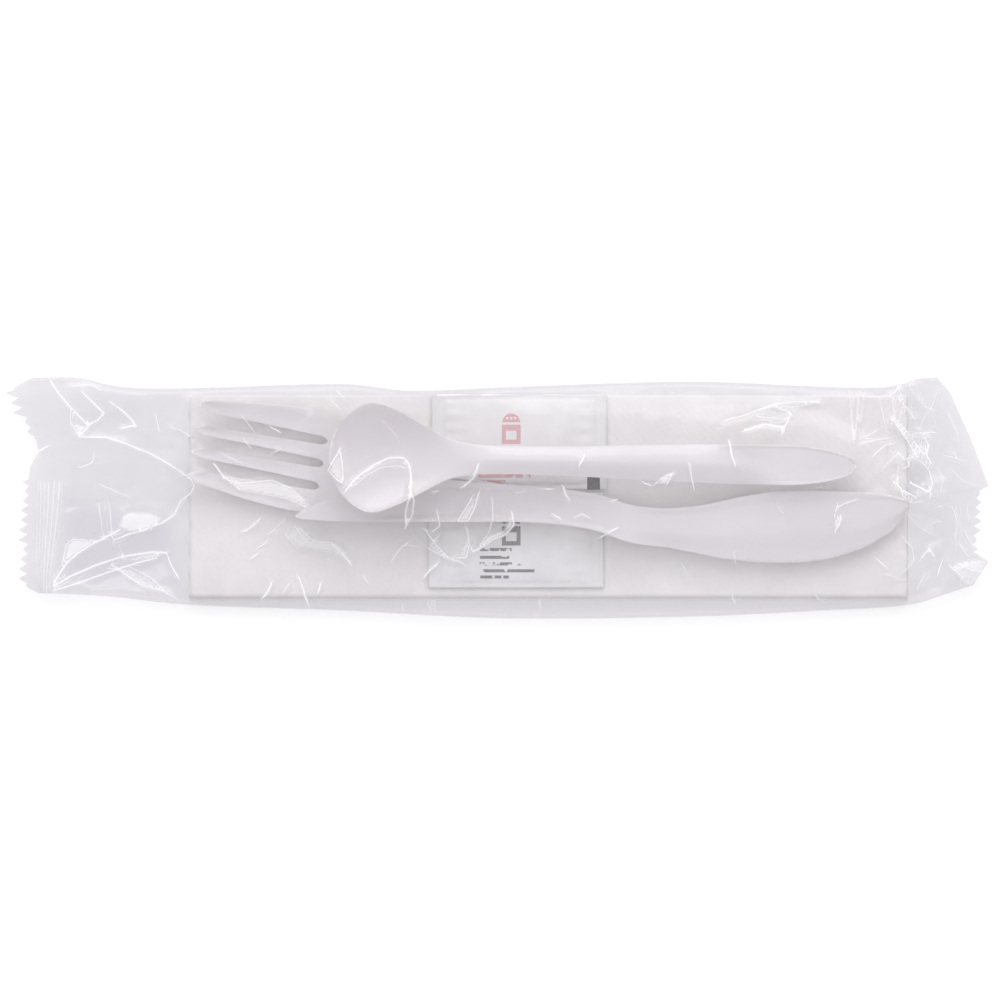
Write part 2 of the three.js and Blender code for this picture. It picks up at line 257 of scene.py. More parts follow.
spoonSettings = {
    "turn": -1, "length": 135, "rows": 260, "columns": 28, "crowding": 0.35,
    "bowlDepth": 5.6, "wall": 1.1, "handleThickness": 2.0, "thickening": (27, 41),
    "tipRadius": 12, "endRadius": 21, "endWidth": 0.09,
    "spine": [
        (0, 17.2), (14, 17.5), (32, 17.6), (43, 17.4), (63, 16), (83, 14.4), (103, 12.6), (123, 11),
        (135, 9.9),
    ],
    "width": [
        (0, 26.6), (7, 27.8), (12, 27.8), (18, 23.4), (24.5, 16.6), (30, 10.8), (36, 8), (43, 7.2), (62, 7.6),
        (85, 9.4), (120, 10.4), (135, 10.4),
    ],
    "hollow": [(0, 0), (3, 0.5), (8, 0.93), (13, 1), (20, 0.75), (28, 0.22), (34, 0)],
    "ridge": 1.6, "ridgeStart": (30, 46), "ridgeEnd": (101, 113),  # a roof along the handle
    "rimLip": 0.35, "lipFrom": (40, 60), "rim": 0.3,
}


def makeSpoon(settings, material):
    s = settings
    spine, width, hollow = (curveThrough(s[key]) for key in ("spine", "width", "hollow"))

    def place(u, v, w):
        x = s["length"] * crowdEnds(u, s["crowding"])
        t = 2 * v - 1
        ends = roundEnd(x, s["tipRadius"]) * roundEnd(s["length"] - x, s["endRadius"])
        half = width(x) / 2 * np.maximum(ends, s["endWidth"])
        dish = s["bowlDepth"] * hollow(x) * (1 - t * t) ** 0.85
        slant = x + 5 * t  # the roof runs out on a slant
        onRidge = smooth(x, *s["ridgeStart"]) * (1 - smooth(slant, *s["ridgeEnd"]))
        roof = s["ridge"] * np.abs(t) ** 1.4 * onRidge
        lip = s["rimLip"] * smooth(np.abs(t), 0.86, 0.96) * (1 - onRidge) * smooth(x, *s["lipFrom"])
        thick = mix(s["wall"], s["handleThickness"], smooth(x, *s["thickening"]))
        top = spine(x) - dish - roof + lip - s["rimLip"]
        return x, half * t, top - (1 - w) * (thick - 0.5 * roof)

    bm = shapeSlab(gridSlab(s["rows"], s["columns"]), place)
    roundRims(bm, s["rim"], 2)
    putWhereNodeIs(bm, "spoon", s["turn"])
    return finishPiece(bm, "spoonMoulding", "spoon", [material])


knifeSettings = {
    "left": -52, "right": 106.3, "rows": 330, "columns": 22, "crowding": 0.25,
    "handleThickness": 2.0, "bladeThickness": 1.3, "edgeThickness": 0.35,
    "neck": 30, "bladeStart": 44, "handleRadius": 3, "tipRadius": 7, "endWidth": 0.13,
    "restHeight": 7.95, "slope": -0.0195,
    "channel": 0.9, "channelFrom": (-36, -26), "channelTo": (18, 30),  # the handle's sunk middle
    "edgeGrind": 0.45, "toothPitch": 1.3, "toothDepth": 0.35, "teethFrom": (58, 61), "teethTo": (99, 101),
    "rim": 0.22, "spineRib": 0.35,
    "farEdge": [
        (-52, -3.6), (-46, -1.2), (-39, 1), (-30, 3.4), (-14, 4.6), (4, 3.4), (15, 2.6), (27, 0.6),
        (34, -1.7), (42, -2.6), (52, -1.9), (62, 0.2), (72, 1.7), (92, 1.6), (107, 0.6),
    ],
    "nearEdge": [
        (-52, -5.4), (-40, -6), (-14, -6.1), (4, -6.1), (15, -6.7), (25, -8.4), (34, -11.4), (44, -12.8),
        (62, -16.2), (73, -16.8), (84, -16), (94, -13), (101, -9), (107, -4.5),
    ],
}


def makeKnife(settings, material):
    s = settings
    far, near = curveThrough(s["farEdge"]), curveThrough(s["nearEdge"])

    def place(u, v, w):
        x = mix(s["left"], s["right"], crowdEnds(u, s["crowding"]))
        handleEnd = roundEnd(x - s["left"], s["handleRadius"])
        ends = np.minimum(handleEnd, roundEnd(s["right"] - x, s["tipRadius"]))
        middle = (far(x) + near(x)) / 2
        half = (far(x) - near(x)) / 2 * np.maximum(ends, s["endWidth"])
        t = 2 * v - 1
        onBlade = smooth(x, s["neck"], s["bladeStart"])
        ground = smooth(-t, 1 - 2 * s["edgeGrind"], 1)
        blade = mix(s["bladeThickness"], s["edgeThickness"], ground)
        thick = mix(s["handleThickness"], blade, onBlade)
        sunk = smooth(x, *s["channelFrom"]) * (1 - smooth(x + 4 * t, *s["channelTo"]))
        sunk = s["channel"] * sunk * (1 - smooth(np.abs(t), 0.66, 0.86))
        toothed = smooth(x, *s["teethFrom"]) * (1 - smooth(x, *s["teethTo"]))
        wave = np.abs(((x / s["toothPitch"]) % 1) * 2 - 1)
        notch = s["toothDepth"] * wave * toothed * smooth(-t, 0.86, 1)
        spineRib = s["spineRib"] * onBlade * smooth(t, 0.72, 0.9)
        under = s["restHeight"] + s["slope"] * x
        top = thick - sunk + spineRib * w - notch * 0.6
        return x, middle + half * t + notch, under + w * top + (1 - w) * notch * 0.3

    bm = shapeSlab(gridSlab(s["rows"], s["columns"]), place)
    roundRims(bm, s["rim"], 2, 60)
    putWhereNodeIs(bm, "knife")
    return finishPiece(bm, "knifeMoulding", "knife", [material])


forkSettings = {
    "turn": -10.6, "length": 152, "rows": 200, "headEnd": 38, "neck": 62, "endRadius": 8, "endWidth": 0.12,
    "crowding": 0.3, "wall": 1.4, "handleThickness": 1.9, "cup": 1.3,
    "tinePitch": 5.95, "slotWidth": 2.1, "slotLength": 34, "slotTaper": 0.8, "slotRound": 2.2,
    "tipPoint": 2.2, "tipLength": 7, "rim": 0.22, "groove": 0.35,
    # columns of the grid in each of the four tines, and in each slot between them
    "tineColumns": 4, "slotColumns": 2,
    "channel": 0.7, "channelFrom": (64, 72), "channelTo": (136, 146),
    "width": [
        (0, 21.5), (16, 25.2), (28, 26.4), (34, 24.4), (40, 15.5), (47, 9.6), (56, 7), (90, 7), (130, 8.4),
        (152, 8.4),
    ],
    "spine": [
        (0, 7.2), (8, 5.1), (17, 4.4), (34, 5), (48, 6.1), (62, 6.65), (79, 6.65), (107, 6.1), (152, 5.2),
    ],
}


def makeFork(settings, material):
    s = settings
    spine, width = curveThrough(s["spine"]), curveThrough(s["width"])
    bay = s["tineColumns"] + s["slotColumns"]
    columns = 4 * s["tineColumns"] + 3 * s["slotColumns"]

    def inSlot(u, v):
        x = s["length"] * crowdEnds(u, s["crowding"])
        return x < s["slotLength"] and (v * columns) % bay > s["tineColumns"]

    def place(u, v, w):
        x = s["length"] * crowdEnds(u, s["crowding"])
        column = v * columns
        half = width(x) / 2
        # where the slots' sides are, and the tines' columns between them
        nib = np.clip((s["slotLength"] - x) / s["slotRound"], 0, 1)
        spread = s["slotTaper"] * np.clip(1 - x / s["slotLength"], 0, 1)
        slotHalf = s["slotWidth"] / 2 * np.sqrt(1 - (1 - nib) ** 2) + spread
        index = np.minimum(np.floor(column / bay + 1e-6), 3)
        inside = column - index * bay
        left = np.where(index == 0, -half, (index - 2) * s["tinePitch"] + slotHalf)
        right = np.where(index == 3, half, (index - 1) * s["tinePitch"] - slotHalf)
        onTine = inside <= s["tineColumns"] + 1e-6
        local = np.clip(inside / s["tineColumns"], 0, 1)
        beyond = (inside - s["tineColumns"]) / s["slotColumns"]
        slotted = np.where(onTine, mix(left, right, local), right + 2 * slotHalf * beyond)
        plain = mix(-half, half, v)
        apart = smooth(x, s["slotLength"] + 0.3, s["headEnd"] + 3)
        y = mix(slotted, plain, apart)
        end = np.maximum(roundEnd(s["length"] - x, s["endRadius"]), s["endWidth"])
        y = y * end
        t = y / np.maximum(half, 0.1)
        tip = s["tipPoint"] * (2 * local - 1) ** 2 * np.clip(1 - x / s["tipLength"], 0, 1)
        onHandle = smooth(x, s["headEnd"], s["neck"])
        thick = mix(s["wall"], s["handleThickness"], onHandle)
        cupped = s["cup"] * t * t * (1 - onHandle)
        hollow = s["groove"] * (1 - (2 * local - 1) ** 2) * (1 - smooth(x, 24, 34)) * smooth(x, 0, 6)
        sunk = smooth(x, *s["channelFrom"]) * (1 - smooth(x, *s["channelTo"]))
        sunk = s["channel"] * sunk * (1 - smooth(np.abs(2 * v - 1), 0.6, 0.85))
        z = spine(x) + cupped + (w - 0.5) * thick - w * (hollow * onTine + sunk)
        return x + tip, y, z

    bm = gridSlab(s["rows"], columns, inSlot)
    shapeSlab(bm, place)
    bmesh.ops.remove_doubles(bm, verts=bm.verts, dist=0.01 * mm)
    bmesh.ops.dissolve_degenerate(bm, dist=0.005 * mm, edges=bm.edges)
    bmesh.ops.recalc_face_normals(bm, faces=bm.faces)
    roundRims(bm, s["rim"], 2, 60)
    putWhereNodeIs(bm, "fork", s["turn"])
    return finishPiece(bm, "forkMoulding", "fork", [material])


napkinSettings = {
    "rows": 150, "layers": 4, "perLayer": 44, "perFold": 7, "paper": 0.36, "airGap": 0.2,
    "shrink": 0.35,  # how far a free edge lies inside the fold above it
    "wave": 0.06,
}


def tissuePaper(name):
    material, tree = newMaterial(name)
    fibres = noiseAt(tree, objectPoint(tree, (1, 0.35, 1)), 1500, 4, 0.7)
    clouds = noiseAt(tree, objectPoint(tree), 120, 3)
    point = objectPoint(tree, (1, 1, 1), (0, 0, 0), math.radians(45))
    dimples = node(tree, "TexVoronoi", {"Vector": point, "Scale": 620.0, "Randomness": 0.15})
    tint = ramp(tree, clouds, [(0.3, (0.83, 0.82, 0.8)), (0.7, (0.88, 0.87, 0.85))])
    relief = maths(tree, "MULTIPLY_ADD", dimples.outputs["Distance"], 0.6, fibres)
    shader = node(
        tree, "BsdfPrincipled",
        {
            "Base Color": tint, "Roughness": 0.95, "Specular IOR Level": 0.15,
            "Normal": bump(tree, relief, 0.35, 0.0003),
            "Sheen Weight": 0.15, "Sheen Roughness": 0.6,
        },
    )
    output(tree, shader)
    return material


def makeNapkin(settings, material):
    s = settings
    low, high = (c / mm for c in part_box("paper_napkin"))
    pitch = s["paper"] + s["airGap"]
    bottom = low.z + s["paper"] / 2
    bend = high.y - pitch / 2 - s["paper"] / 2
    path, lean = [], []  # the sheet's middle line in Y and Z, and which way is up through the paper
    for layer in range(s["layers"]):
        towards = 1 if layer % 2 == 0 else -1
        z = bottom + layer * pitch
        start = -bend + (s["shrink"] if layer == 0 else 0)
        stop = bend - (s["shrink"] if layer == s["layers"] - 1 else 0)
        for step in range(s["perLayer"] + 1):
            path.append((towards * mix(start, stop, step / s["perLayer"]), z))
            lean.append(0.5 * math.pi * (1 - towards))
        if layer < s["layers"] - 1:
            for step in range(1, s["perFold"]):
                angle = math.pi * step / s["perFold"]
                outOfLayer = bend + pitch / 2 * math.sin(angle)
                path.append((towards * outOfLayer, z + pitch / 2 * (1 - math.cos(angle))))
                lean.append(angle if towards > 0 else math.pi - angle)
    path, lean = np.array(path), np.array(lean)
    columns = len(path) - 1

    def place(u, v, w):
        i = np.rint(v * columns).astype(int)
        x = mix(low.x, high.x, u)
        off = (w - 0.5) * s["paper"]
        y = path[i, 0] - off * np.sin(lean[i])
        z = path[i, 1] + off * np.cos(lean[i])
        sway = np.sin(x * 0.11 + 1) * np.cos(y * 0.17) + 0.6 * np.sin(x * 0.31 + y * 0.23)
        ragged = 0.12 * np.sin(y * 0.9 + z * 9) + 0.25 * (z - low.z - 1) * (2 * u - 1)
        return x - np.where(np.abs(2 * u - 1) > 0.999, ragged * (2 * u - 1), 0), y, z + s["wave"] * sway

    bm = shapeSlab(gridSlab(s["rows"], columns), place)
    return finishPiece(bm, "foldedNapkin", "paper_napkin", [material])


packetSettings = {
    "rows": 110, "columns": 60, "edge": 0.35, "fill": 1.25, "endSeal": 3.2, "sideSeal": 1.2,
    "ribPitch": 1.0, "ribDepth": 0.1, "pucker": 0.1,
}


# Coated paper with a print of plain shapes: a shaker, a few bars like lines of print, and a square mark.
def printedPaper(name, ink, inkStrength, emblem, bars, mark=None):
    material, tree = newMaterial(name)
    point = node(tree, "TexCoord").outputs["Object"]
    split = node(tree, "SeparateXYZ", {0: point})
    x, y = split.outputs[0], split.outputs[1]
    fibres = noiseAt(tree, objectPoint(tree), 1400, 4, 0.6)
    clouds = noiseAt(tree, objectPoint(tree), 160, 3)
    paper = ramp(tree, clouds, [(0.3, (0.79, 0.785, 0.78)), (0.7, (0.86, 0.855, 0.85))])

    def bar(cx, cy, wide, tall):
        inX = maths(tree, "COMPARE", x, cx * mm, wide / 2 * mm)
        inY = maths(tree, "COMPARE", y, cy * mm, tall / 2 * mm)
        return maths(tree, "MULTIPLY", inX, inY)

    def disc(cx, cy, radius):
        offset = node(
            tree, "VectorMath", {0: node(tree, "CombineXYZ", {0: x, 1: y}).outputs[0]},
            operation="DISTANCE",
        )
        offset.inputs[1].default_value = (cx * mm, cy * mm, 0)
        return maths(tree, "LESS_THAN", offset.outputs["Value"], radius * mm)

    def joined(shapes):
        total = shapes[0]
        for shape in shapes[1:]:
            total = maths(tree, "MAXIMUM", total, shape)
        return total

    cx, cy, size = emblem
    # a shaker: a jar with a window and a waist left pale, and a domed cap with three pale holes
    body = bar(cx, cy - 0.22 * size, 1.05 * size, 1.15 * size)
    cap = disc(cx, cy + 0.42 * size, 0.5 * size)
    waist = bar(cx, cy + 0.36 * size, 1.4 * size, 0.13 * size)
    window = bar(cx, cy - 0.3 * size, 0.6 * size, 0.5 * size)
    holes = [disc(cx + offset * size, cy + 0.66 * size, 0.07 * size) for offset in (-0.22, 0, 0.22)]
    shaker = maths(tree, "SUBTRACT", joined([body, cap]), joined([waist, window, *holes]), clamp=True)
    lines = joined([bar(*each) for each in bars])
    dashes = noiseAt(tree, objectPoint(tree, (1, 0.8, 0)), 560, 1)
    broken = maths(tree, "MULTIPLY", lines, ramp(tree, dashes, [(0.37, (0, 0, 0)), (0.43, (1, 1, 1))]))
    strength = maths(tree, "MULTIPLY_ADD", fibres, 0.3, inkStrength - 0.15)
    inked = maths(tree, "MULTIPLY", joined([shaker, broken]), strength)
    colour = mixColour(tree, inked, paper, ink)
    if mark:
        colour = mixColour(tree, bar(*mark), colour, (0.012, 0.011, 0.012))
    shader = node(
        tree, "BsdfPrincipled",
        {
            "Base Color": colour, "Roughness": maths(tree, "MULTIPLY_ADD", clouds, 0.2, 0.45),
            "Specular IOR Level": 0.4, "Normal": bump(tree, fibres, 0.15, 0.0002),
        },
    )
    output(tree, shader)
    return material


def makePacket(settings, name, nodeName, material, seed):
    s = settings
    low, high = (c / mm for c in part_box(nodeName))
    middle = (low + high) / 2
    length, width = high.x - low.x, high.y - low.y

    def outward(offset, size, seal):
        return np.minimum(np.abs(offset) / (size / 2 - seal), 1)

    def place(u, v, w):
        along, across = length * (u - 0.5), width * (v - 0.5)
        inX, inY = outward(along, length, s["endSeal"]), outward(across, width, s["sideSeal"])
        swell = s["fill"] * np.sqrt(np.clip((1 - inX**5) * (1 - inY**2.5), 0, 1))
        sealed = smooth(inX, 0.9, 1)
        rib = s["ribDepth"] * sealed * np.sin(2 * np.pi * along / s["ribPitch"])
        fan = np.sin(across * 1.9 + seed) * smooth(inX, 0.55, 0.9) * (1 - smooth(inX, 0.96, 1))
        side = np.sin(along * 1.3 + seed) * smooth(inY, 0.6, 0.92) * (1 - smooth(inY, 0.96, 1))
        lump = np.sin(along * 0.35 + seed) * np.cos(across * 0.5 + 2 * seed) * np.clip(swell, 0, 1)
        relief = s["pucker"] * (fan + side + 1.3 * lump) - s["pucker"] * 1.2
        top = np.maximum(s["edge"] + rib * 0.5 + swell + relief * (swell > 0.01), s["edge"] * 0.7 + rib * 0.5)
        lift = 0.06 + rib * 0.5
        return middle.x + along, middle.y + across, low.z + np.where(w > 0.5, top, 0.0) + lift

    bm = shapeSlab(gridSlab(s["rows"], s["columns"]), place)
    return finishPiece(bm, name, nodeName, [material])


filmSettings = {
    # row spacing over the left seal, the sleeve and the right seal, from the first row to the last
    "stretches": [(-123.5, -111, 46), (-111, 111.5, 300), (111.5, 121.5, 36)],
    "columns": 110, "toothDepth": 2.5, "toothReach": 2.6,
    "leftSeal": (-112.5, 20), "rightSeal": (115.5, 8),  # where the sleeve ends, and how long it takes to lift
    "sealHeight": 3.25, "sealHalf": 0.1, "back": 0.55, "clearance": 0.32, "emptyGap": 0.25,
    "slack": 0.006,
    "sideTop": 3.3, "sideMiddle": 1.9, "fold": 2.0, "settle": 1600, "ceiling": 19.25,
    "ribPitch": 1.35, "ribDepth": 0.14, "ribGlint": 0.55, "ribFade": 0.6,
    "leftRibs": (-120.6, -112), "rightRibs": 116.5,
    "farEdge": [
        (-127, 31), (-109, 31), (-98, 28.8), (-82, 28.4), (-40, 29.5), (-23, 27.8), (0, 28.6), (50, 30.1),
        (99, 28.6), (111, 31.1), (127, 30),
    ],
    "nearEdge": [
        (-127, -24.5), (-103, -25.3), (-81, -27.6), (-41, -29.1), (0, -31.1), (50, -30.7), (83, -29.2),
        (107, -27.6), (116, -24.8), (127, -22),
    ],
    # the line each end is cut to, as [y, x]; the zigzags run over toothed
    "leftCut": [
        (-25.5, -116), (-24.3, -119.5), (-23.2, -121.9), (4.7, -121.4), (8, -121), (11.9, -118.8),
        (15, -119.6), (28.6, -125.3), (31, -120.7),
    ],
    "rightCut": [
        (-24, 121.5), (-23.1, 123), (-17.3, 126.9), (-14.2, 122.8), (1.6, 123.8), (2.6, 126.8), (15.8, 122.2),
        (26.7, 117.1), (30.6, 113.5), (31.5, 111.5),
    ],
    "leftTeeth": [(-23, 4.7), (15, 28)], "rightTeeth": [(-14, 2.2)],
    "toothShape": (0, 0.55, 1, 0.8, 0.3), "toothUneven": (0.3, 1.15), "rightToothShare": 0.7,
    "gather": 2.9,  # how far the left seal's near end is drawn in
    "reach": (7, 14),  # over what length the rows even out from each cut
    "facets": [  # cell, height, where it acts, seed
        (9.0, 1.0, "ends", 3), (4.2, 0.55, "ends", 5), (2.2, 0.26, "ends", 8),
        (11.0, 0.22, "middle", 11), (3.5, 0.08, "middle", 14),
    ],
    "creaseReach": 1.3, "creaseHeight": 0.4, "snap": 0.27, "creaseSpan": 1.1,
    "faint": 0.34, "patchBoost": 1.3,  # a patch weaker than faint has a soft edge
    # painted shade along the film's near and far edges: how dark, and from where to where it fades
    "nearShade": (0.5, 1.5, 9), "farShade": (0.35, 0.8, 3), "least": 0.06, "lowest": 0.42,
    "fin": (-111, 114), "finRoot": -1, "finWidth": 10, "finThickness": 0.3,
}
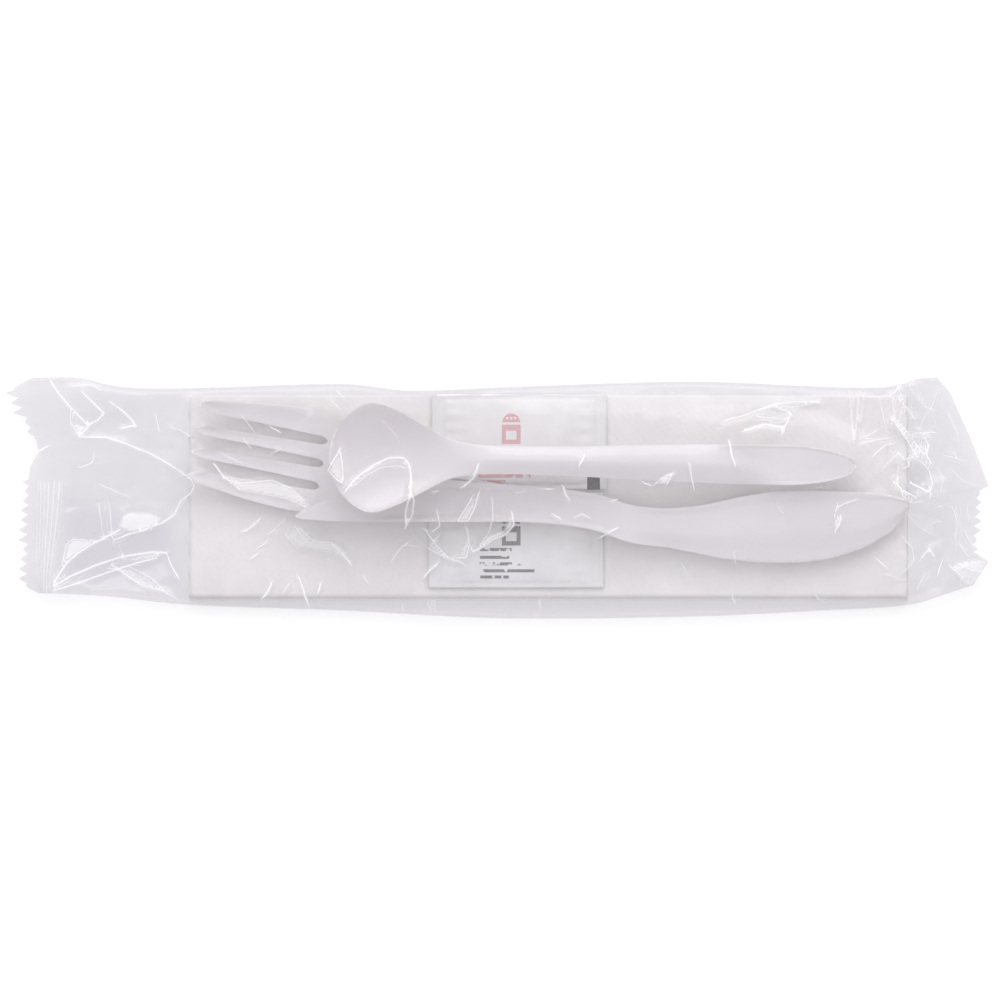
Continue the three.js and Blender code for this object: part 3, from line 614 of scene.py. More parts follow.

# Sharp creases in the top film: how strong, which sets the fold's height and the painted highlight along it,
# and points in X and Y.
creases = [
    (1.0, [(-115.8, 30.2), (-113.7, 27.1), (-110.6, 23.5), (-108, 20.7), (-105.9, 18.6), (-108.3, 16.3)]),
    (0.6, [(-110.6, 23.3), (-110.6, 19.4), (-108.5, 16.3)]),
    (0.9, [(-107.2, 27.1), (-102.1, 22), (-103.6, 20.2), (-105.9, 19.1)]),
    (0.5, [(-110.1, 28.9), (-105.4, 29.5), (-102.8, 27.9)]),
    (0.9, [(-100.3, 24.8), (-97.4, 22.7), (-94.6, 19.9), (-94.1, 18.9), (-97.7, 18.1)]),
    (1.0, [(-108.5, 15.8), (-101.6, 15.8), (-97.4, 14.5), (-89.9, 11.4), (-83.5, 7.8), (-78.8, 4.7),
        (-78.3, 3.1), (-79.3, 1.3), (-82.2, -0.8), (-84, -4.4), (-87.3, -6.5), (-92.5, -8.5)]),
    (0.8, [(-98.7, -10.6), (-95.6, -9.3), (-91.2, -8.3), (-88.6, -6.5)]),
    (1.0, [(-116.3, -24.3), (-113.7, -19.9), (-111.6, -16.8), (-108.8, -14.2), (-105.4, -12.1),
        (-101.6, -10.1), (-98.2, -8.3)]),
    (1.0, [(-115.8, -23.3), (-110.6, -20.2), (-104.1, -17.3), (-97.7, -15.2), (-89.9, -14), (-86, -14.2)]),
    (0.8, [(-115.2, -24), (-109.3, -22.2), (-101.6, -19.4), (-93.8, -16.8), (-88.6, -15.5)]),
    (0.8, [(-86, -14.2), (-84.8, -17.3), (-82.9, -20.4)]),
    (0.7, [(-100.3, -17.3), (-96.4, -19.9), (-92.5, -22.5), (-87.3, -23.8), (-83.5, -25.8)]),
    (0.5, [(-95.6, -17.8), (-89.9, -20.7), (-84.8, -25.1)]),
    (0.6, [(-112.7, -16.8), (-111.9, -12.1), (-110.1, -10.6), (-104.1, -11.1)]),
    (0.7, [(-88.6, 20.9), (-87.9, 17.6)]), (0.6, [(-84.2, 18.1), (-82.2, 17.6), (-79.6, 16)]),
    (0.6, [(-108, 8), (-104.9, 9.3), (-104.9, 11.1)]), (0.8, [(-119.6, 11.9), (-116.5, 13.4)]),
    (0.5, [(-102.8, 3.4), (-99, 1.6), (-95.6, 0.3)]), (0.5, [(-103.4, -1.8), (-102.1, -10.9)]),
    (0.5, [(-100.8, -1.3), (-99.7, -12.1)]), (0.4, [(-98.2, -12.1), (-97.2, -16)]),
    (0.6, [(102.6, 27.4), (104.7, 29.7), (107.8, 30.2)]), (0.5, [(102.1, 26.6), (102.6, 18.9)]),
    (0.9, [(101.8, 20.2), (105.2, 16), (108.5, 10.9)]), (0.8, [(103.1, 20.2), (107, 15.8), (110.3, 11.4)]),
    (0.8, [(103.9, 25.3), (105.9, 23.3), (107.8, 20.7)]),
    (0.8, [(110.3, 16.3), (111.6, 13.7), (111.1, 11.1), (112.1, 9.3)]),
    (0.7, [(107.8, 16.8), (112.9, 17.1)]), (0.7, [(103.4, 11.6), (105.9, 9.8), (106.5, 8.5), (104.7, 7.5)]),
    (0.7, [(102.8, 3.6), (105.2, 1.6), (107.8, 0.3)]), (0.9, [(107.2, 3.6), (109.6, 2.6), (112.1, 0.8)]),
    (0.6, [(94.1, 14.2), (97.4, 15), (101.3, 15.5)]), (0.6, [(94.8, 15.8), (98.2, 17.6)]),
    (0.7, [(96.9, 11.1), (100, 13.7), (102.1, 14.2)]), (0.6, [(99.7, 8), (102.8, 11.1)]),
    (0.5, [(91, 26.6), (91.7, 15)]), (0.5, [(93.3, 26.6), (92.2, 15)]), (0.4, [(94.6, 26.6), (93.8, 20.2)]),
    (0.5, [(98.7, 25.3), (100.3, 17.6)]), (0.8, [(109.6, -15.5), (111.6, -12.9), (112.7, -15)]),
    (0.8, [(114, -19.6), (115, -16)]), (0.5, [(108.5, -23.3), (110.6, -19.6)]),
    (0.8, [(116.8, -17.6), (119.9, -20.2), (123, -23)]),
    (0.9, [(119.4, -17.1), (122.5, -18.6), (126.1, -19.1)]),
    (0.7, [(118.6, -19.1), (122, -16.8), (125.6, -16.5)]), (0.6, [(120.9, -9), (122.7, -12.1)]),
    (0.6, [(119.6, -12.1), (121.7, -15)]), (0.5, [(115.5, 11.1), (119.9, 9.8)]),
    (0.6, [(117.3, 12.4), (118.6, 10.9)]), (0.5, [(102.6, 30.5), (105.2, 25.3), (103.6, 20.2)]),
    (0.5, [(109, 26.6), (111.1, 22.7), (109.6, 18.9)]), (0.5, [(114.2, 7.2), (115.2, 4.7), (114.5, 1.6)]),
    (0.7, [(97.7, -15.5), (100.3, -17.8)]), (0.5, [(100.8, -19.9), (105.2, -21.2)]),
    (0.5, [(113.2, -2.6), (114.7, -2.1)]), (0.5, [(112.7, -6.5), (114.5, -5.9)]),
    (0.6, [(104, 9.5), (106.5, 10.5), (109.5, 9.6), (111.8, 7), (112.4, 3.8), (111.4, 0.4)]),
    (0.5, [(103.6, 8.8), (103.2, 4.5), (104.3, 0.6), (107.2, -1.4), (110.4, -0.6)]),
    (0.5, [(105.5, -4), (108.8, -7.4), (111.6, -9)]), (0.4, [(116.5, 22), (118.6, 17.5), (119.4, 14)]),
    (0.5, [(113.5, 27), (111.8, 22.4), (113.4, 19.5)]), (0.5, [(106.4, 29), (109.4, 24.4), (112.8, 22.8)]),
    (0.4, [(117.4, 7.4), (120.4, 4.4), (123.2, 3.2)]), (0.5, [(117.6, -2.4), (119, -6.4), (118.2, -10.4)]),
    (0.4, [(121.4, -1.4), (121.8, -5.2)]),
    (0.5, [(104.6, -10), (107.2, -12.8), (107.6, -16.4), (105, -19)]),
    (0.6, [(58.2, 20), (63.4, 21.3), (71.1, 24.4), (77.5, 24.9), (83.1, 25.1)]),
    (0.5, [(65.2, 22.1), (71.1, 23.6), (75.7, 22.1)]), (0.5, [(66.7, 21), (74.9, 20.5)]),
    (0.6, [(71.1, 24.4), (75.7, 21.6)]), (1.0, [(63.4, 17.4), (68.5, 19), (73.6, 18.2)]),
    (0.5, [(77.5, 23.6), (81.3, 24.6), (83.9, 24.4)]), (0.7, [(73.1, 16.9), (75.4, 21.3)]),
    (0.9, [(59.3, 14.1), (59.8, 11), (60.6, 8.7)]),
    (0.9, [(-38.7, 2), (-37.2, 4.1), (-34.7, 6.4), (-31.3, 8.7), (-28, 10.2), (-25.5, 10.4), (-24, 10.2),
        (-22.7, 8.7), (-22.2, 5.9), (-22.2, 2.8), (-22.7, -0.5)]),
    (0.5, [(-36.4, 3.3), (-33.1, 6.1), (-29.6, 7.9), (-25.5, 8.2), (-24, 7.9)]),
    (0.8, [(-22.7, 2.8), (-21.4, -0.5), (-21.9, -4.3), (-23.7, -7.4), (-23.7, -4.3), (-22.7, 0.3)]),
    (0.8, [(-40.3, 12.5), (-41.8, 9.7), (-43.3, 7.1), (-41, 4.6), (-39.5, 3.8), (-39.7, 8.4),
        (-40.3, 12.5)]),
    (0.5, [(-42.8, 25), (-41, 23.4)]), (0.5, [(-41.5, 27.5), (-40, 26)]),
    (0.4, [(-29, 19.4), (-25.5, 15.3)]),
    (0.8, [(-72.9, 8.5), (-70.8, 5.6), (-66.7, 2.3)]),
    (0.7, [(-70.8, 5.1), (-66.2, 3.8), (-58.5, 4.6), (-53.4, 2.6), (-50, -0.5)]),
    (0.5, [(-66.2, 2.1), (-60.6, 1), (-54.7, 0), (-49.5, -2.1)]),
    (0.9, [(-61.6, -5.4), (-64.1, -7.7), (-65.9, -8.7)]),
    (0.6, [(-55.4, -5.9), (-58, -8.2), (-59.3, -9.5)]), (0.6, [(-59.8, -11.5), (-62.1, -12.8)]),
    (0.7, [(-62.1, -14.4), (-64.1, -15.7)]), (0.8, [(-58.5, 18.2), (-56.5, 17.2)]),
    (0.5, [(-65.7, 20.8), (-63.6, 18)]), (0.6, [(-65.4, 14.9), (-64.1, 13.3)]),
    (0.6, [(-58, 11.8), (-55.9, 12.6)]), (0.5, [(-70.3, 11), (-66.7, 9.2)]),
    (0.6, [(-55, -9.5), (-52.4, -12.4)]), (0.7, [(-52.1, -7.5), (-49.8, -11.1)]),
    (0.6, [(-51.1, -7.5), (-47.7, -11.1), (-42.6, -11.6)]),
    (0.9, [(-42.6, -12.1), (-40.3, -14.2), (-38.2, -16.8)]),
    (0.9, [(-58.6, -22.2), (-59.9, -24.8), (-60.9, -25.8)]), (0.6, [(-54.2, -22.5), (-55.5, -24.3)]),
    (0.8, [(-51.6, -20.4), (-50.3, -23.7), (-49, -27.9)]), (0.6, [(-50.6, -23.2), (-49.6, -27.1)]),
    (0.9, [(-45.9, -22.2), (-46.5, -24.3)]), (0.6, [(-34.6, -20.6), (-33.8, -21.7)]),
    (0.7, [(-27.4, -16), (-25.6, -13.4), (-23.5, -11.6)]), (0.5, [(-24.3, -12.1), (-21.9, -12.4)]),
    (0.9, [(-19.1, -20.4), (-17.6, -18.6), (-15.7, -17)]), (0.5, [(-24.8, -27.9), (-24.5, -29.4)]),
    (0.5, [(-18.1, -27.6), (-17.3, -29.4)]), (0.5, [(-16.5, -27.1), (-16, -29.4)]),
    (0.5, [(10.8, -26.6), (10.8, -27.9)]), (0.6, [(60.7, -25.8), (61.2, -26.8)]),
    (0.5, [(60.7, -14.7), (61.2, -16.8)]), (0.5, [(47.7, -17.3), (48.8, -19.4)]),
    (0.8, [(26.3, -10.1), (30.5, -7.7)]), (0.5, [(82.3, -25.3), (83.1, -26.1)]),
    (0.7, [(-18.7, -8.2), (-16.1, -12), (-12.8, -15.4), (-9, -16.9)]),
    (0.6, [(-17.9, -13.1), (-13.6, -15.4), (-11, -16.4)]), (0.6, [(-16.9, -11.3), (-14.9, -9.5)]),
    (0.9, [(-5.1, 8.2), (-6.2, 5.1), (-9, 2.8)]),
    (0.8, [(-4.9, 1.3), (-5.9, -2.3), (-7.7, -5.9), (-10.5, -5.9), (-8.5, -3.1), (-6.7, 0)]),
    (0.7, [(-15.6, -3.6), (-14.9, -7.2), (-16.7, -8.5)]),
    (0.7, [(-7.9, -8.2), (-7.4, -12), (-8.2, -15.4), (-10.3, -15.4)]),
    (1.0, [(3.6, -4.1), (4.1, -6.9), (1.8, -9.5), (-1.5, -10.8), (-4.1, -12.6), (-6.4, -13.8)]),
    (0.6, [(-1.5, -0.5), (-1.3, -5.1), (-2.3, -8.7), (-4.6, -12)]), (1.0, [(22, 10.5), (20.8, 8.5)]),
    (0.8, [(12.3, 2.3), (13.6, 2.3)]), (1.0, [(16.7, 2.6), (17.4, 0.8), (17.9, 0)]),
    (0.9, [(14.4, -4.4), (15.6, -5.1)]), (0.7, [(19.7, -4.9), (21.5, -4.1), (23.1, -4.9)]),
    (0.8, [(29.2, -0.8), (30.5, -0.3)]), (0.9, [(37.4, 3.8), (39, 3.3)]),
    (1.0, [(40.2, 3.6), (42.3, 5.4), (44.6, 6.4), (43.3, 3.6)]),
    (0.8, [(49, 8.5), (49.5, 5.1), (50.2, 2.6)]), (0.7, [(87.1, -2.6), (88.9, -1.5), (92, -0.5)]),
    (1.0, [(88.2, -5.1), (87.7, -6.9), (86.9, -8.2)]), (0.6, [(87.1, -2.3), (86.6, -4.9)]),
    (0.5, [(72.3, -2.6), (73, -3.3)]), (0.5, [(82, 2.6), (83, 2.8)]), (0.7, [(-16.4, 1.5), (-15.4, 1.8)]),
    (0.5, [(4.9, 1.3), (6.9, 1.8)]),
]

# Places on the film with a painted highlight, glints on crumples and soft bands of reflected light: how
# bright, and a closed outline.
glintPatches = [
    (0.55, [(-111.6, -12.1), (-110.1, -10.6), (-104.1, -11.1), (-105.9, -12.4), (-109.3, -14.7),
        (-112.7, -16.8)]),
    (0.55, [(-98.2, -7.5), (-97.7, -4.7), (-95.1, -3.6), (-89.9, -3.9), (-87.3, -5.2), (-88.6, -7),
        (-92.5, -8.3), (-95.6, -8.8)]),
    (0.6, [(-110.6, 19.4), (-108.5, 19.1), (-106.2, 18.6), (-108.3, 16.3)]),
    (0.35, [(-100.3, -17.3), (-96.4, -19.1), (-89.9, -22.2), (-83.5, -25.8), (-87.9, -24.3), (-92.5, -23)]),
    (0.35, [(-97.7, -16), (-89.9, -14.2), (-86, -14.2), (-89.4, -16.3)]),
    (0.3, [(-115.8, -23.3), (-111.6, -16.8), (-113.2, -21.2)]),
    (0.5, [(-72.2, 7.9), (-70.1, 5.1), (-66, 3.8), (-58.4, 4.6), (-53.2, 2.6), (-50.2, 0.3), (-48.6, -2),
        (-51.2, -1.5), (-54.5, 0), (-60.4, 1), (-66, 2), (-69.1, 3.6)]),
    (0.45, [(-55, -10), (-52.7, -7.7), (-50.7, -7.7), (-48.1, -10.8), (-44.3, -11.3), (-41.7, -11.5),
        (-39.2, -14.1), (-37.9, -16.6), (-43, -13.8), (-47.6, -13.1), (-51.2, -12.5)]),
    (0.5, [(-40.4, 12), (-43.3, 7.2), (-41, 4.6), (-39.9, 4.1)]),
    (0.55, [(-4.9, 7.9), (-6.1, 5.1), (-9, 2.8), (-6.9, 5.9)]),
    (0.45, [(-4.9, 1), (-5.9, -2.3), (-7.7, -5.9), (-10.5, -5.9), (-8.2, -2.6)]),
    (0.6, [(3.3, -4.4), (4.1, -6.9), (1.5, -9.7), (-2.6, -11.5), (-6.1, -13.8), (-2.8, -9.7), (1.5, -8.2)]),
    (0.45, [(-7.7, -8.4), (-7.4, -12), (-8.2, -15.1), (-10, -15.1), (-8.7, -12)]),
    (0.6, [(-15.6, -16.9), (-17.4, -19.2), (-18.9, -20.2), (-18.2, -18.2)]),
    (0.9, [(40.7, 3.6), (42.2, 5.4), (44.3, 6.4), (43.3, 3.6)]),
    (0.9, [(86.8, -5.6), (87.8, -5.1), (88.1, -6.7), (86.8, -8.4)]),
    (0.3, [(-22.8, 2), (-21.5, -1), (-22.3, -4.4), (-23.8, -7.2)]),
    (0.6, [(63.2, 17.4), (68.4, 19.2), (73.5, 18.2), (68.4, 17.9)]),
    (0.1, [(-80, 22.4), (-80, 26.2), (-50, 26.8), (-18, 26.4), (-17, 22.4), (-45, 22), (-65, 21.4)]),
    (0.1, [(24, 24), (24, 27.6), (52, 28.4), (80, 27.2), (80, 23.4), (52, 22.4)]),
    (0.11, [(33.3, -0.3), (41.5, 0.5), (51.7, 2.3), (58.9, 4.9), (65, 8.7), (70.9, 9.2), (77.3, 8.2),
        (77.3, 5.1), (69.1, 2.6), (62.5, 0.3), (56.8, -2.3), (49.2, -3.6), (41.5, -4.6), (36.4, -4.1),
        (34, -2.6)]),
    (0.1, [(51.7, 24.1), (67.1, 25.1), (82.9, 25.1), (77.3, 21.2), (62, 16.9), (51.7, 18.7)]),
    (0.5, [(117.3, -17.6), (122.5, -16), (126.4, -17.1), (125.6, -20.4), (123, -23), (119.9, -22)]),
    (0.1, [(100, 26.6), (112.9, 27.9), (114.2, 20.2), (111.6, 9.8), (102.6, 11.1), (100, 17.6)]),
    (0.35, [(104.4, 24.8), (107.8, 22.7), (107.2, 20.4), (105.2, 22.2)]),
    (0.35, [(107.8, 16.5), (112.9, 17.3), (111.6, 15), (108.5, 15)]),
]

# Places where painted shade darkens the film, as closed outlines.
shadeOutlines = [
    (0.9, [(-112, 1.5), (-101, -2), (-93, -3.5), (-86, -6), (-81.5, -12), (-82, -24), (-98, -24),
        (-114, -23)]),
    (0.9, [(103.3, 9), (106.5, 10.3), (110.5, 8.5), (112.5, 4), (111.5, -0.2), (107, -1.5), (103.5, 1)]),
    (0.5, [(112, 0), (118, -1), (120, -14), (114, -18), (109, -14), (109, -4)]),
    (0.4, [(-112, 21), (-104, 26), (-96, 24), (-94, 20), (-99, 18), (-107, 18)]),
]


# The offsets from every grid point to the nearest place on a polyline, and which side of it they are on.
def offsetTo(points, x, y):
    best = np.full(x.shape, 1e9)
    toX, toY, side = np.zeros(x.shape), np.zeros(x.shape), np.ones(x.shape)
    for (ax, ay), (bx, by) in zip(points[:-1], points[1:]):
        dx, dy = bx - ax, by - ay
        t = np.clip(((x - ax) * dx + (y - ay) * dy) / (dx * dx + dy * dy), 0, 1)
        offX, offY = ax + t * dx - x, ay + t * dy - y
        distance = np.hypot(offX, offY)
        nearer = distance < best
        best = np.where(nearer, distance, best)
        toX, toY = np.where(nearer, offX, toX), np.where(nearer, offY, toY)
        side = np.where(nearer, np.where(dx * (y - ay) - dy * (x - ax) < 0, -1, 1), side)
    return toX, toY, side


def distanceTo(points, x, y):
    toX, toY, _ = offsetTo(points, x, y)
    return np.hypot(toX, toY)


# How deep inside a closed outline each grid point is; below zero outside it.
def insideOf(points, x, y):
    closed = list(points) + [points[0]]
    inside = np.zeros(x.shape, bool)
    for (ax, ay), (bx, by) in zip(closed[:-1], closed[1:]):
        crosses = (ay > y) != (by > y)
        reach = (bx - ax) * (y - ay) / (by - ay if by != ay else 1e-9) + ax
        inside ^= crosses & (x < reach)
    distance = distanceTo(closed, x, y)
    return np.where(inside, distance, -distance)


# Height of a net of faces under each grid point, or missing where there is none.
def heightBelow(net, x, y, missing):
    down = Vector((0, 0, -1))
    found = [net.ray_cast(Vector((px, py, 40)), down)[0] for px, py in zip(x.flat, y.flat)]
    return np.array([hit.z if hit else missing for hit in found]).reshape(x.shape)


# Flat facets between straight creases: a net of triangles over scattered points of random height.
def facetField(x, y, cell, seed):
    long, wide = 290, 90
    dice = random.Random(seed)
    points = []
    for i in range(int(long / cell)):
        for j in range(int(wide / cell)):
            px = (i + dice.random()) * cell - long / 2
            py = (j + dice.random()) * cell - wide / 2
            points.append((px, py))
    heights = [dice.uniform(-1, 1) for _ in points]
    verts, _, faces, *_ = geometry.delaunay_2d_cdt([Vector(p) for p in points], [], [], 0, 1e-5)
    net = BVHTree.FromPolygons([(v.x, v.y, h) for v, h in zip(verts, heights)], faces)
    return heightBelow(net, x, y, 0.0)


# Height of whatever lies in the sleeve under each grid point, or -1 where nothing does.
def contentHeight(pieces, x, y):
    verts, faces = [], []
    for piece in pieces:
        start = len(verts)
        verts += [v.co / mm for v in piece.data.vertices]
        faces += [[start + i for i in face.vertices] for face in piece.data.polygons]
    return heightBelow(BVHTree.FromPolygons(verts, faces), x, y, -1.0)


# Widens each height by a grid step and softens it, as a stiff film would.
def spreadOut(height):
    def neighbours(grid):
        padded = np.pad(grid, 1, mode="edge")
        rows, columns = grid.shape
        return [padded[i:i + rows, j:j + columns] for i in range(3) for j in range(3)]

    widest = np.max(neighbours(height), 0)
    return np.maximum(np.mean(neighbours(widest), 0), height)


def clearFilm(name, tint, shadeTint, shine, milk):
    material, tree = newMaterial(name)
    facing = node(tree, "LayerWeight", {"Blend": 0.5})
    point = objectPoint(tree)
    long = noiseAt(tree, objectPoint(tree, (0.3, 1, 1)), 260, 2)
    cells = node(tree, "TexVoronoi", {"Vector": point, "Scale": 420.0}, feature="F1")
    grain = maths(tree, "MULTIPLY_ADD", noiseAt(tree, point, 900, 3), 0.25, long)
    relief = maths(tree, "MULTIPLY_ADD", cells.outputs["Distance"], 0.35, grain)
    normal = bump(tree, relief, 0.35, 0.0004)
    tree.links.new(normal, facing.inputs["Normal"])
    edge = maths(tree, "POWER", facing.outputs["Facing"], 5.0)
    sheen = maths(tree, "MULTIPLY_ADD", edge, 0.25, shine, clamp=True)
    # painted shade: where this attribute is set, the clear film is darkened towards the second, deeper tint
    deep = attribute(tree, "paintedShade")
    clear = node(tree, "BsdfTransparent", {"Color": mixColour(tree, deep, tint, shadeTint)})
    gloss = node(tree, "BsdfGlossy", {"Color": (1, 1, 1, 1), "Roughness": 0.2, "Normal": normal})
    skin = mixShader(tree, sheen, clear, gloss)
    # a painted highlight along each crease: a thin line where the signed distance to it crosses zero
    side = attribute(tree, "creaseSide")
    strength = attribute(tree, "creaseGlintStrength")
    away = maths(tree, "ABSOLUTE", side)
    halfWidth = maths(tree, "MULTIPLY_ADD", strength, 0.26, 0.1)
    line = maths(tree, "SUBTRACT", 1.25, maths(tree, "DIVIDE", away, halfWidth), clamp=True)
    line = maths(tree, "MULTIPLY", line, maths(tree, "MULTIPLY", strength, 1.1, clamp=True))
    # painted highlights, glints and reflected light on the listed places and along creases, drawn as a white
    # diffuse layer over the film's even haze
    patchGlint = attribute(tree, "paintedGlint")
    highlightAmount = maths(tree, "MAXIMUM", patchGlint, line)
    pale = mixColour(tree, highlightAmount, (0.84, 0.825, 0.835), (0.98, 0.98, 0.99))
    hazeAndGlint = node(tree, "BsdfDiffuse", {"Color": pale, "Normal": normal})
    through = node(tree, "BsdfTranslucent", {"Color": pale})
    white = mixShader(tree, 0.35, hazeAndGlint, through)
    hazeAndHighlight = maths(tree, "MULTIPLY_ADD", highlightAmount, 0.95 - milk, milk, clamp=True)
    output(tree, mixShader(tree, hazeAndHighlight, skin, white))
    return material


def makeFilm(settings, contents, materials):
    s = settings
    far, near = curveThrough(s["farEdge"]), curveThrough(s["nearEdge"])
    rows = [s["stretches"][0][0]]
    for start, stop, steps in s["stretches"]:
        rows += [mix(start, stop, (i + 1) / steps) for i in range(steps)]
    rows = np.array(rows)
    columns = s["columns"]
    share = np.arange(columns + 1) / columns

    def cutLine(pairs, y):
        return np.interp(y, [p[0] for p in pairs], [p[1] for p in pairs])

    def within(y, ranges):
        return sum((y > low) & (y < high) for low, high in ranges)

    # teeth of slightly uneven depth, a few columns each
    dice = random.Random(21)
    shape = s["toothShape"]
    deep = [dice.uniform(*s["toothUneven"]) for _ in range(columns // len(shape) + 2)]
    tooth = np.array([shape[j % len(shape)] * deep[j // len(shape)] for j in range(columns + 1)])

    x0 = np.repeat(rows[:, None], columns + 1, 1)
    firstY = mix(near(rows[0]), far(rows[0]), share)
    lastY = mix(near(rows[-1]), far(rows[-1]), share)
    leftShift = cutLine(s["leftCut"], firstY) - rows[0]
    rightShift = cutLine(s["rightCut"], lastY) - rows[-1]
    leftTeeth = -s["toothDepth"] * tooth * within(firstY, s["leftTeeth"])
    rightTeeth = s["rightToothShare"] * s["toothDepth"] * np.roll(tooth, 2) * within(lastY, s["rightTeeth"])
    fromLeft, fromRight = x0 - rows[0], rows[-1] - x0
    x = x0 + leftShift * np.clip(1 - fromLeft / s["reach"][0], 0, 1)
    x = x + rightShift * np.clip(1 - fromRight / s["reach"][1], 0, 1)
    x = x + leftTeeth * np.clip(1 - fromLeft / s["toothReach"], 0, 1)
    x = x + rightTeeth * np.clip(1 - fromRight / s["toothReach"], 0, 1)
    # the left seal's ribs draw together towards the near side
    gather = np.interp(x0, [-120.6, -112.4, -92], [0, 1, 0])
    y = mix(near(x), far(x), share[None, :])
    x = x - s["gather"] * gather * (1 - smooth(y, -25, 5))
    y = mix(near(x), far(x), share[None, :])

    # grid corners close to a crease move onto it, so that it folds along a clean line
    taken = np.zeros(x.shape, bool)
    onSeam = np.minimum(y - near(x), far(x) - y) < 0.4
    for _, points in creases:
        toX, toY, _ = offsetTo(points, x, y)
        caught = (np.hypot(toX, toY) < s["snap"]) & ~taken & ~onSeam
        x, y = x + 0.9 * toX * caught, y + 0.9 * toY * caught
        taken |= caught

    lift = 1 - smooth(x0, s["leftSeal"][0], s["leftSeal"][0] + s["leftSeal"][1])
    lift = lift + smooth(x0, s["rightSeal"][0] - s["rightSeal"][1], s["rightSeal"][0])
    curl = 0.5 * np.sin(y * 0.13 + 1) + 0.35 * np.sin(y * 0.29 + x * 0.1)
    atSeal = s["sealHeight"] + curl * smooth(np.abs(x0), 112, 122)
    back = mix(s["back"], atSeal - s["sealHalf"], lift)
    content = spreadOut(contentHeight(contents, x, y))
    emptyHeight = mix(back + s["emptyGap"], back + 2 * s["sealHalf"], lift)
    obstacle = np.maximum(content + s["clearance"], emptyHeight)
    fromNear, fromFar = y - near(x), far(x) - y
    fromEdge = np.minimum(fromNear, fromFar)
    sideTop = mix(s["sideTop"], atSeal + s["sealHalf"], lift)
    sideMiddle = mix(s["sideMiddle"], atSeal, lift)

    # The film settles over the contents like a slack skin.
    onSide = fromEdge < s["fold"]
    onSeal = (x0 < s["leftSeal"][0]) | (x0 > s["rightSeal"][0])
    top = np.maximum(obstacle, sideTop)
    top = np.where(onSeal, atSeal + s["sealHalf"], top)
    dx = np.gradient(x0, axis=0)[1:-1, 1:-1]
    dy = np.gradient(y, axis=1)[1:-1, 1:-1]
    weightX, weightY = 1 / dx**2, 1 / dy**2
    free = ~(onSide | onSeal)[1:-1, 1:-1]
    for _ in range(s["settle"]):
        around = weightX * (top[2:, 1:-1] + top[:-2, 1:-1]) + weightY * (top[1:-1, 2:] + top[1:-1, :-2])
        around = around / (2 * (weightX + weightY)) - s["slack"]
        around = np.maximum(around, obstacle[1:-1, 1:-1])
        top[1:-1, 1:-1] = np.where(free, around, top[1:-1, 1:-1])
    print("film settled, highest", round(float(top.max()), 2))

    # creases and crinkles
    towardsEnds = np.clip(smooth(-x, 70, 92) + smooth(x, 84, 104), 0, 1)
    fade = smooth(fromEdge, 0.3, 3)
    inSleeve = 1 - np.clip(smooth(-x0, 111, 114) + smooth(x0, 114, 117), 0, 1)
    relief = np.zeros(x.shape)
    under = np.zeros(x.shape)
    for cell, height, where, seed in s["facets"]:
        field = facetField(x, y, cell, seed)
        lower = facetField(x, y, cell * 1.1, seed + 50)
        if where == "ends":
            relief += height * field * towardsEnds * mix(0.25, 1, inSleeve)
            under += 0.6 * height * lower * towardsEnds * mix(0.25, 1, inSleeve)
        else:
            relief += height * field * (1 - towardsEnds)
            under += 0.5 * height * lower * (1 - towardsEnds)
    nearest, signed, glintStrength = np.full(x.shape, 1e9), np.full(x.shape, 9.0), np.zeros(x.shape)
    for strength, points in creases:
        toX, toY, side = offsetTo(points, x, y)
        distance = np.hypot(toX, toY)
        relief += s["creaseHeight"] * strength * np.clip(1 - distance / s["creaseReach"], 0, 1)
        closer = distance < nearest
        nearest = np.where(closer, distance, nearest)
        signed = np.where(closer, side * distance, signed)
        glintStrength = np.where(closer, strength * (distance < s["creaseSpan"]), glintStrength)
    # painted highlights inside the listed places
    glintAmount = np.zeros(x.shape)
    for strength, points in glintPatches:
        depth = insideOf(points, x, y)
        if strength < s["faint"]:
            glintAmount = np.maximum(glintAmount, strength * smooth(depth, -1.5, 3))
        else:
            glintAmount = np.maximum(glintAmount, s["patchBoost"] * strength * smooth(depth, -0.3, 0.6))
            relief += 0.5 * strength * smooth(depth, -0.5, 1.5)
    # painted shade near the film's near and far edges and inside the listed outlines
    shadeAmount = s["nearShade"][0] * (1 - smooth(fromNear, *s["nearShade"][1:]))
    shadeAmount = np.maximum(shadeAmount, s["farShade"][0] * (1 - smooth(fromFar, *s["farShade"][1:])))
    for strength, points in shadeOutlines:
        shadeAmount = np.maximum(shadeAmount, strength * smooth(insideOf(points, x, y), -3, 4))
    ribStart, ribStop = s["leftRibs"]
    ribbed = smooth(x0, ribStart, ribStart + s["ribFade"]) * (1 - smooth(x0, ribStop - s["ribFade"], ribStop))
    ribbed = ribbed * (1 - smooth(y, 3.5, 5.5))
    rightStart = s["rightRibs"]
    ribbedRight = smooth(x, rightStart, rightStart + s["ribFade"]) * (1 - smooth(y, 1, 5))
    wave = np.sin(2 * np.pi * (x0 - ribStart) / s["ribPitch"])
    waveRight = np.sin(2 * np.pi * (x - rightStart) / s["ribPitch"])
    ribs = s["ribDepth"] * (ribbed * wave + ribbedRight * waveRight)
    # each rib's crest gets a fine painted highlight line: a wave of twice the pitch crosses zero at every one
    period = 2 * s["ribPitch"]
    crest = period / (2 * np.pi) * np.sin(2 * np.pi * (x0 - ribStart - s["ribPitch"] / 4) / period)
    signed = np.where(ribbed > 0.5, crest, signed)
    glintStrength = np.where(ribbed > 0.5, s["ribGlint"], glintStrength)

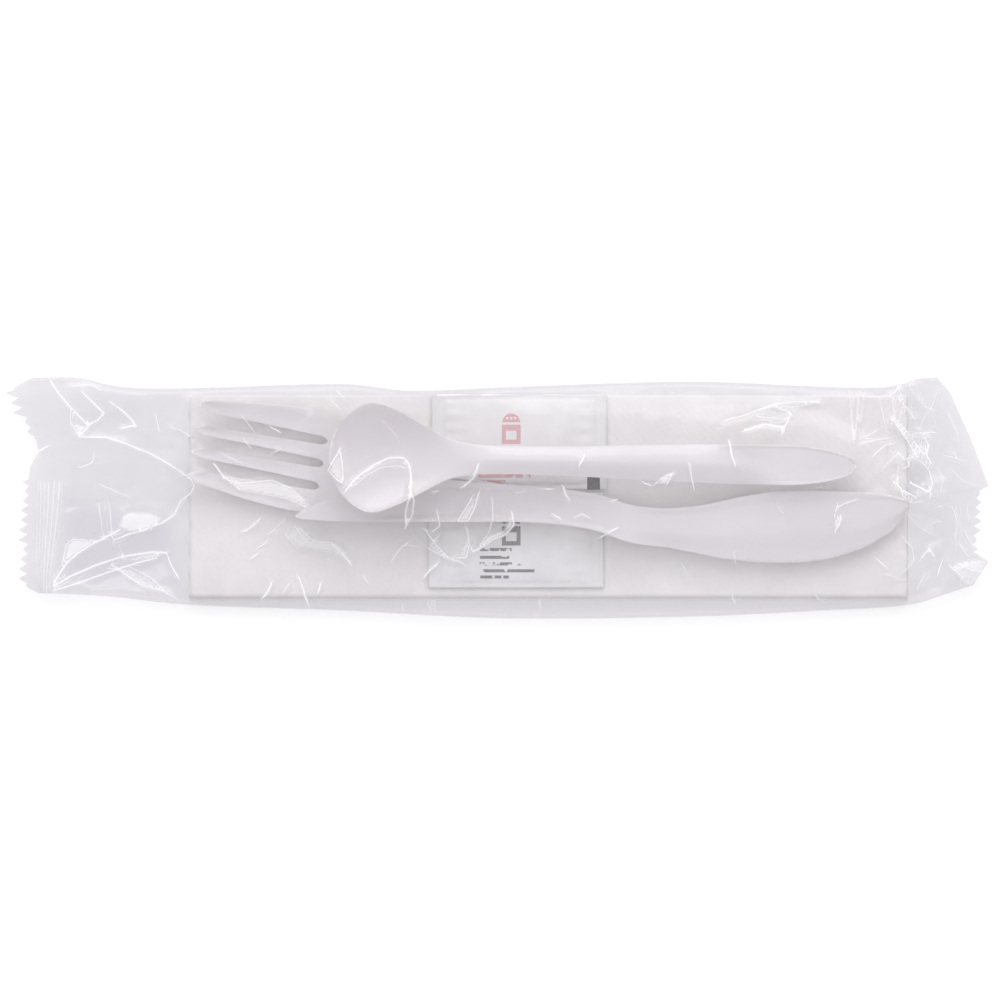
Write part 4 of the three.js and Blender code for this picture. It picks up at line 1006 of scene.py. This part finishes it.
    top = top + (relief * fade) * mix(0.35 + 0.4 * (x > 0), 1, inSleeve)
    top = np.maximum(top, obstacle - 0.15)
    top = np.minimum(top, s["ceiling"])
    rounding = roundEnd(fromEdge, s["fold"])
    top = np.where(onSide, mix(sideMiddle, top, rounding), top)
    bottom = back + np.clip(under * fade * 0.6, -0.35, 0.35) * mix(0.5, 1, inSleeve)
    bottom = np.where(onSide, mix(sideMiddle, bottom, rounding), bottom)
    bottom = np.minimum(bottom, top - s["least"])
    top, bottom = top + ribs, bottom + ribs
    top = np.maximum(top, bottom + s["least"])
    bottom = np.maximum(bottom, s["lowest"])

    steps = len(rows) - 1
    bm = gridSlab(steps, columns)

    def place(u, v, w):
        i, j = np.rint(u * steps).astype(int), np.rint(v * columns).astype(int)
        return x[i, j], y[i, j], np.where(w > 0.5, top[i, j], bottom[i, j])

    corners = np.array([v.co for v in bm.verts])
    rowOf = np.rint(corners[:, 0] * steps).astype(int)
    columnOf = np.rint(corners[:, 1] * columns).astype(int)
    onTop = corners[:, 2] > 0.5
    # these attributes carry the painted highlights and painted shade to the film's material
    values = {
        "paintedGlint": glintAmount[rowOf, columnOf] * np.where(onTop, 1, 0.2),
        "creaseSide": np.where(onTop, signed[rowOf, columnOf], 9.0),
        "creaseGlintStrength": glintStrength[rowOf, columnOf] * onTop,
        "paintedShade": shadeAmount[rowOf, columnOf],
    }
    shapeSlab(bm, place)
    # the back seam: a flat strip of two films under the sleeve, joined to it along one side
    sleeveFaces, sleeveVerts = len(bm.faces), len(bm.verts)
    fin = gridSlab(230, 10)

    def placeFin(u, v, w):
        fx = mix(*s["fin"], u)
        root = np.interp(v, [0, 0.12, 0.3], [1, 0.6, 0])
        level = mix(0, s["back"] - s["finThickness"] + 0.05, root)
        wave = 0.05 * (1 + np.sin(fx * 0.5 + v * 3))
        return fx, s["finRoot"] + s["finWidth"] * v, level + wave * (1 - root) * 0.8 + w * s["finThickness"]

    shapeSlab(fin, placeFin)
    finMesh = bpy.data.meshes.new("finStrip")
    fin.to_mesh(finMesh)
    fin.free()
    bm.from_mesh(finMesh)
    bm.faces.ensure_lookup_table()
    for face in bm.faces[sleeveFaces:]:
        face.material_index = 1
    finVerts = len(bm.verts) - sleeveVerts
    piece = finishPiece(bm, "filmSleeve", "film_wrapper", materials)
    for name, value in values.items():
        layer = piece.data.attributes.new(name, "FLOAT", "POINT")
        value = np.concatenate([value, np.full(finVerts, 9.0 if name == "creaseSide" else 0.0)])
        layer.data.foreach_set("value", value.astype(np.float32))
    return piece


stageSettings = {
    "floorColour": (0.42, 0.42, 0.42), "glow": 0.56, "cameraHeight": 0.866, "cameraAim": (0.0005, -0.0005),
    "lens": 120, "roomColour": (0.98, 0.965, 1.0), "roomStrength": 0.78,
    "lights": [
        ("farSoftBox", (0, 0.95, 0.75), (1.8, 0.8), 10),
        ("leftSoftBox", (-1.0, 0.2, 0.6), (0.6, 1.1), 1.8),
        ("rightSoftBox", (1.0, 0.1, 0.6), (0.6, 1.1), 1.8),
        ("nearFill", (0, -1.1, 0.55), (1.2, 0.45), 1.2),
    ],
}


# A soft box aimed at the middle of the pack.
def areaLight(name, place, size, power):
    light = bpy.data.lights.new(name, "AREA")
    light.shape = "RECTANGLE"
    light.size, light.size_y = size
    light.energy = power
    lamp = bpy.data.objects.new(name, light)
    lamp.location = place
    lamp.rotation_euler = (-Vector(place)).to_track_quat("-Z", "Y").to_euler()
    bpy.context.scene.collection.objects.link(lamp)


def makeStage(settings):
    s = settings
    bm = bmesh.new()
    bmesh.ops.create_grid(bm, x_segments=8, y_segments=8, size=3)
    mesh = bpy.data.meshes.new("floor")
    bm.to_mesh(mesh)
    bm.free()
    floor = bpy.data.objects.new("floor", mesh)
    floor.location.z = -0.0004
    bpy.context.scene.collection.objects.link(floor)
    material, tree = newMaterial("paleFloor")
    plain = node(tree, "BsdfDiffuse", {"Color": (*s["floorColour"], 1)})
    glow = node(tree, "Emission", {"Color": (1, 1, 1, 1), "Strength": s["glow"]})
    output(tree, node(tree, "AddShader", {0: plain.outputs[0], 1: glow.outputs[0]}))
    mesh.materials.append(material)

    world = bpy.data.worlds.new("softRoom")
    world.use_nodes = True
    background = world.node_tree.nodes["Background"]
    background.inputs["Color"].default_value = (*s["roomColour"], 1)
    background.inputs["Strength"].default_value = s["roomStrength"]
    bpy.context.scene.world = world
    for name, place, size, power in s["lights"]:
        areaLight(name, place, size, power)

    camera = bpy.data.cameras.new("camera")
    camera.lens, camera.sensor_width = s["lens"], 36
    camera.clip_start, camera.clip_end = 0.01, 20
    eye = bpy.data.objects.new("camera", camera)
    eye.location = (*s["cameraAim"], s["cameraHeight"])
    bpy.context.scene.collection.objects.link(eye)
    bpy.context.scene.camera = eye
    scene = bpy.context.scene
    scene.view_settings.view_transform = "Standard"
    scene.cycles.transparent_max_bounces = 24
    scene.cycles.caustics_reflective = False
    print("stage ready")


plasticPale = mouldedPlastic("cutleryPlastic", (0.88, 0.862, 0.868), (0.84, 0.82, 0.825))
spoon = makeSpoon(spoonSettings, plasticPale)
knife = makeKnife(knifeSettings, plasticPale)
fork = makeFork(forkSettings, plasticPale)
napkin = makeNapkin(napkinSettings, tissuePaper("napkinTissue"))
saltPrint = printedPaper(
    "saltPaper", (0.6, 0.08, 0.1), 0.6, (3.4, 17.6, 4.6),
    [(1.6, 5.7, 13.6, 0.9), (-1.7, 4.2, 7.2, 0.9)], (24.7, 3.9, 3.3, 3.7),
)
salt = makePacket(packetSettings, "saltPacket", "salt_packet", saltPrint, 1.3)
pepperPrint = printedPaper(
    "pepperPaper", (0.05, 0.05, 0.052), 0.8, (3.4, -8.6, 4.6),
    [
        (-0.6, -13.3, 8.2, 0.8), (-0.9, -15.3, 7.6, 0.8), (0.7, -17.0, 11, 0.8), (2.3, -18.8, 14.2, 0.8),
        (-0.9, -20.4, 7.4, 0.8),
    ],
)
pepper = makePacket(packetSettings, "pepperPacket", "pepper_packet", pepperPrint, 4.1)
# the sleeve film's clear tint, then the darker tint used for painted shade, then its even sheen and haze
sleeveFilm = clearFilm("sleeveFilm", (0.917, 0.91, 0.925), (0.87, 0.856, 0.883), 0.045, 0.155)
seamFilm = clearFilm("seamFilm", (0.997, 0.997, 0.998), (0.997, 0.997, 0.998), 0.004, 0.0)
film = makeFilm(filmSettings, [spoon, knife, fork, napkin, salt, pepper], [sleeveFilm, seamFilm])
makeStage(stageSettings)
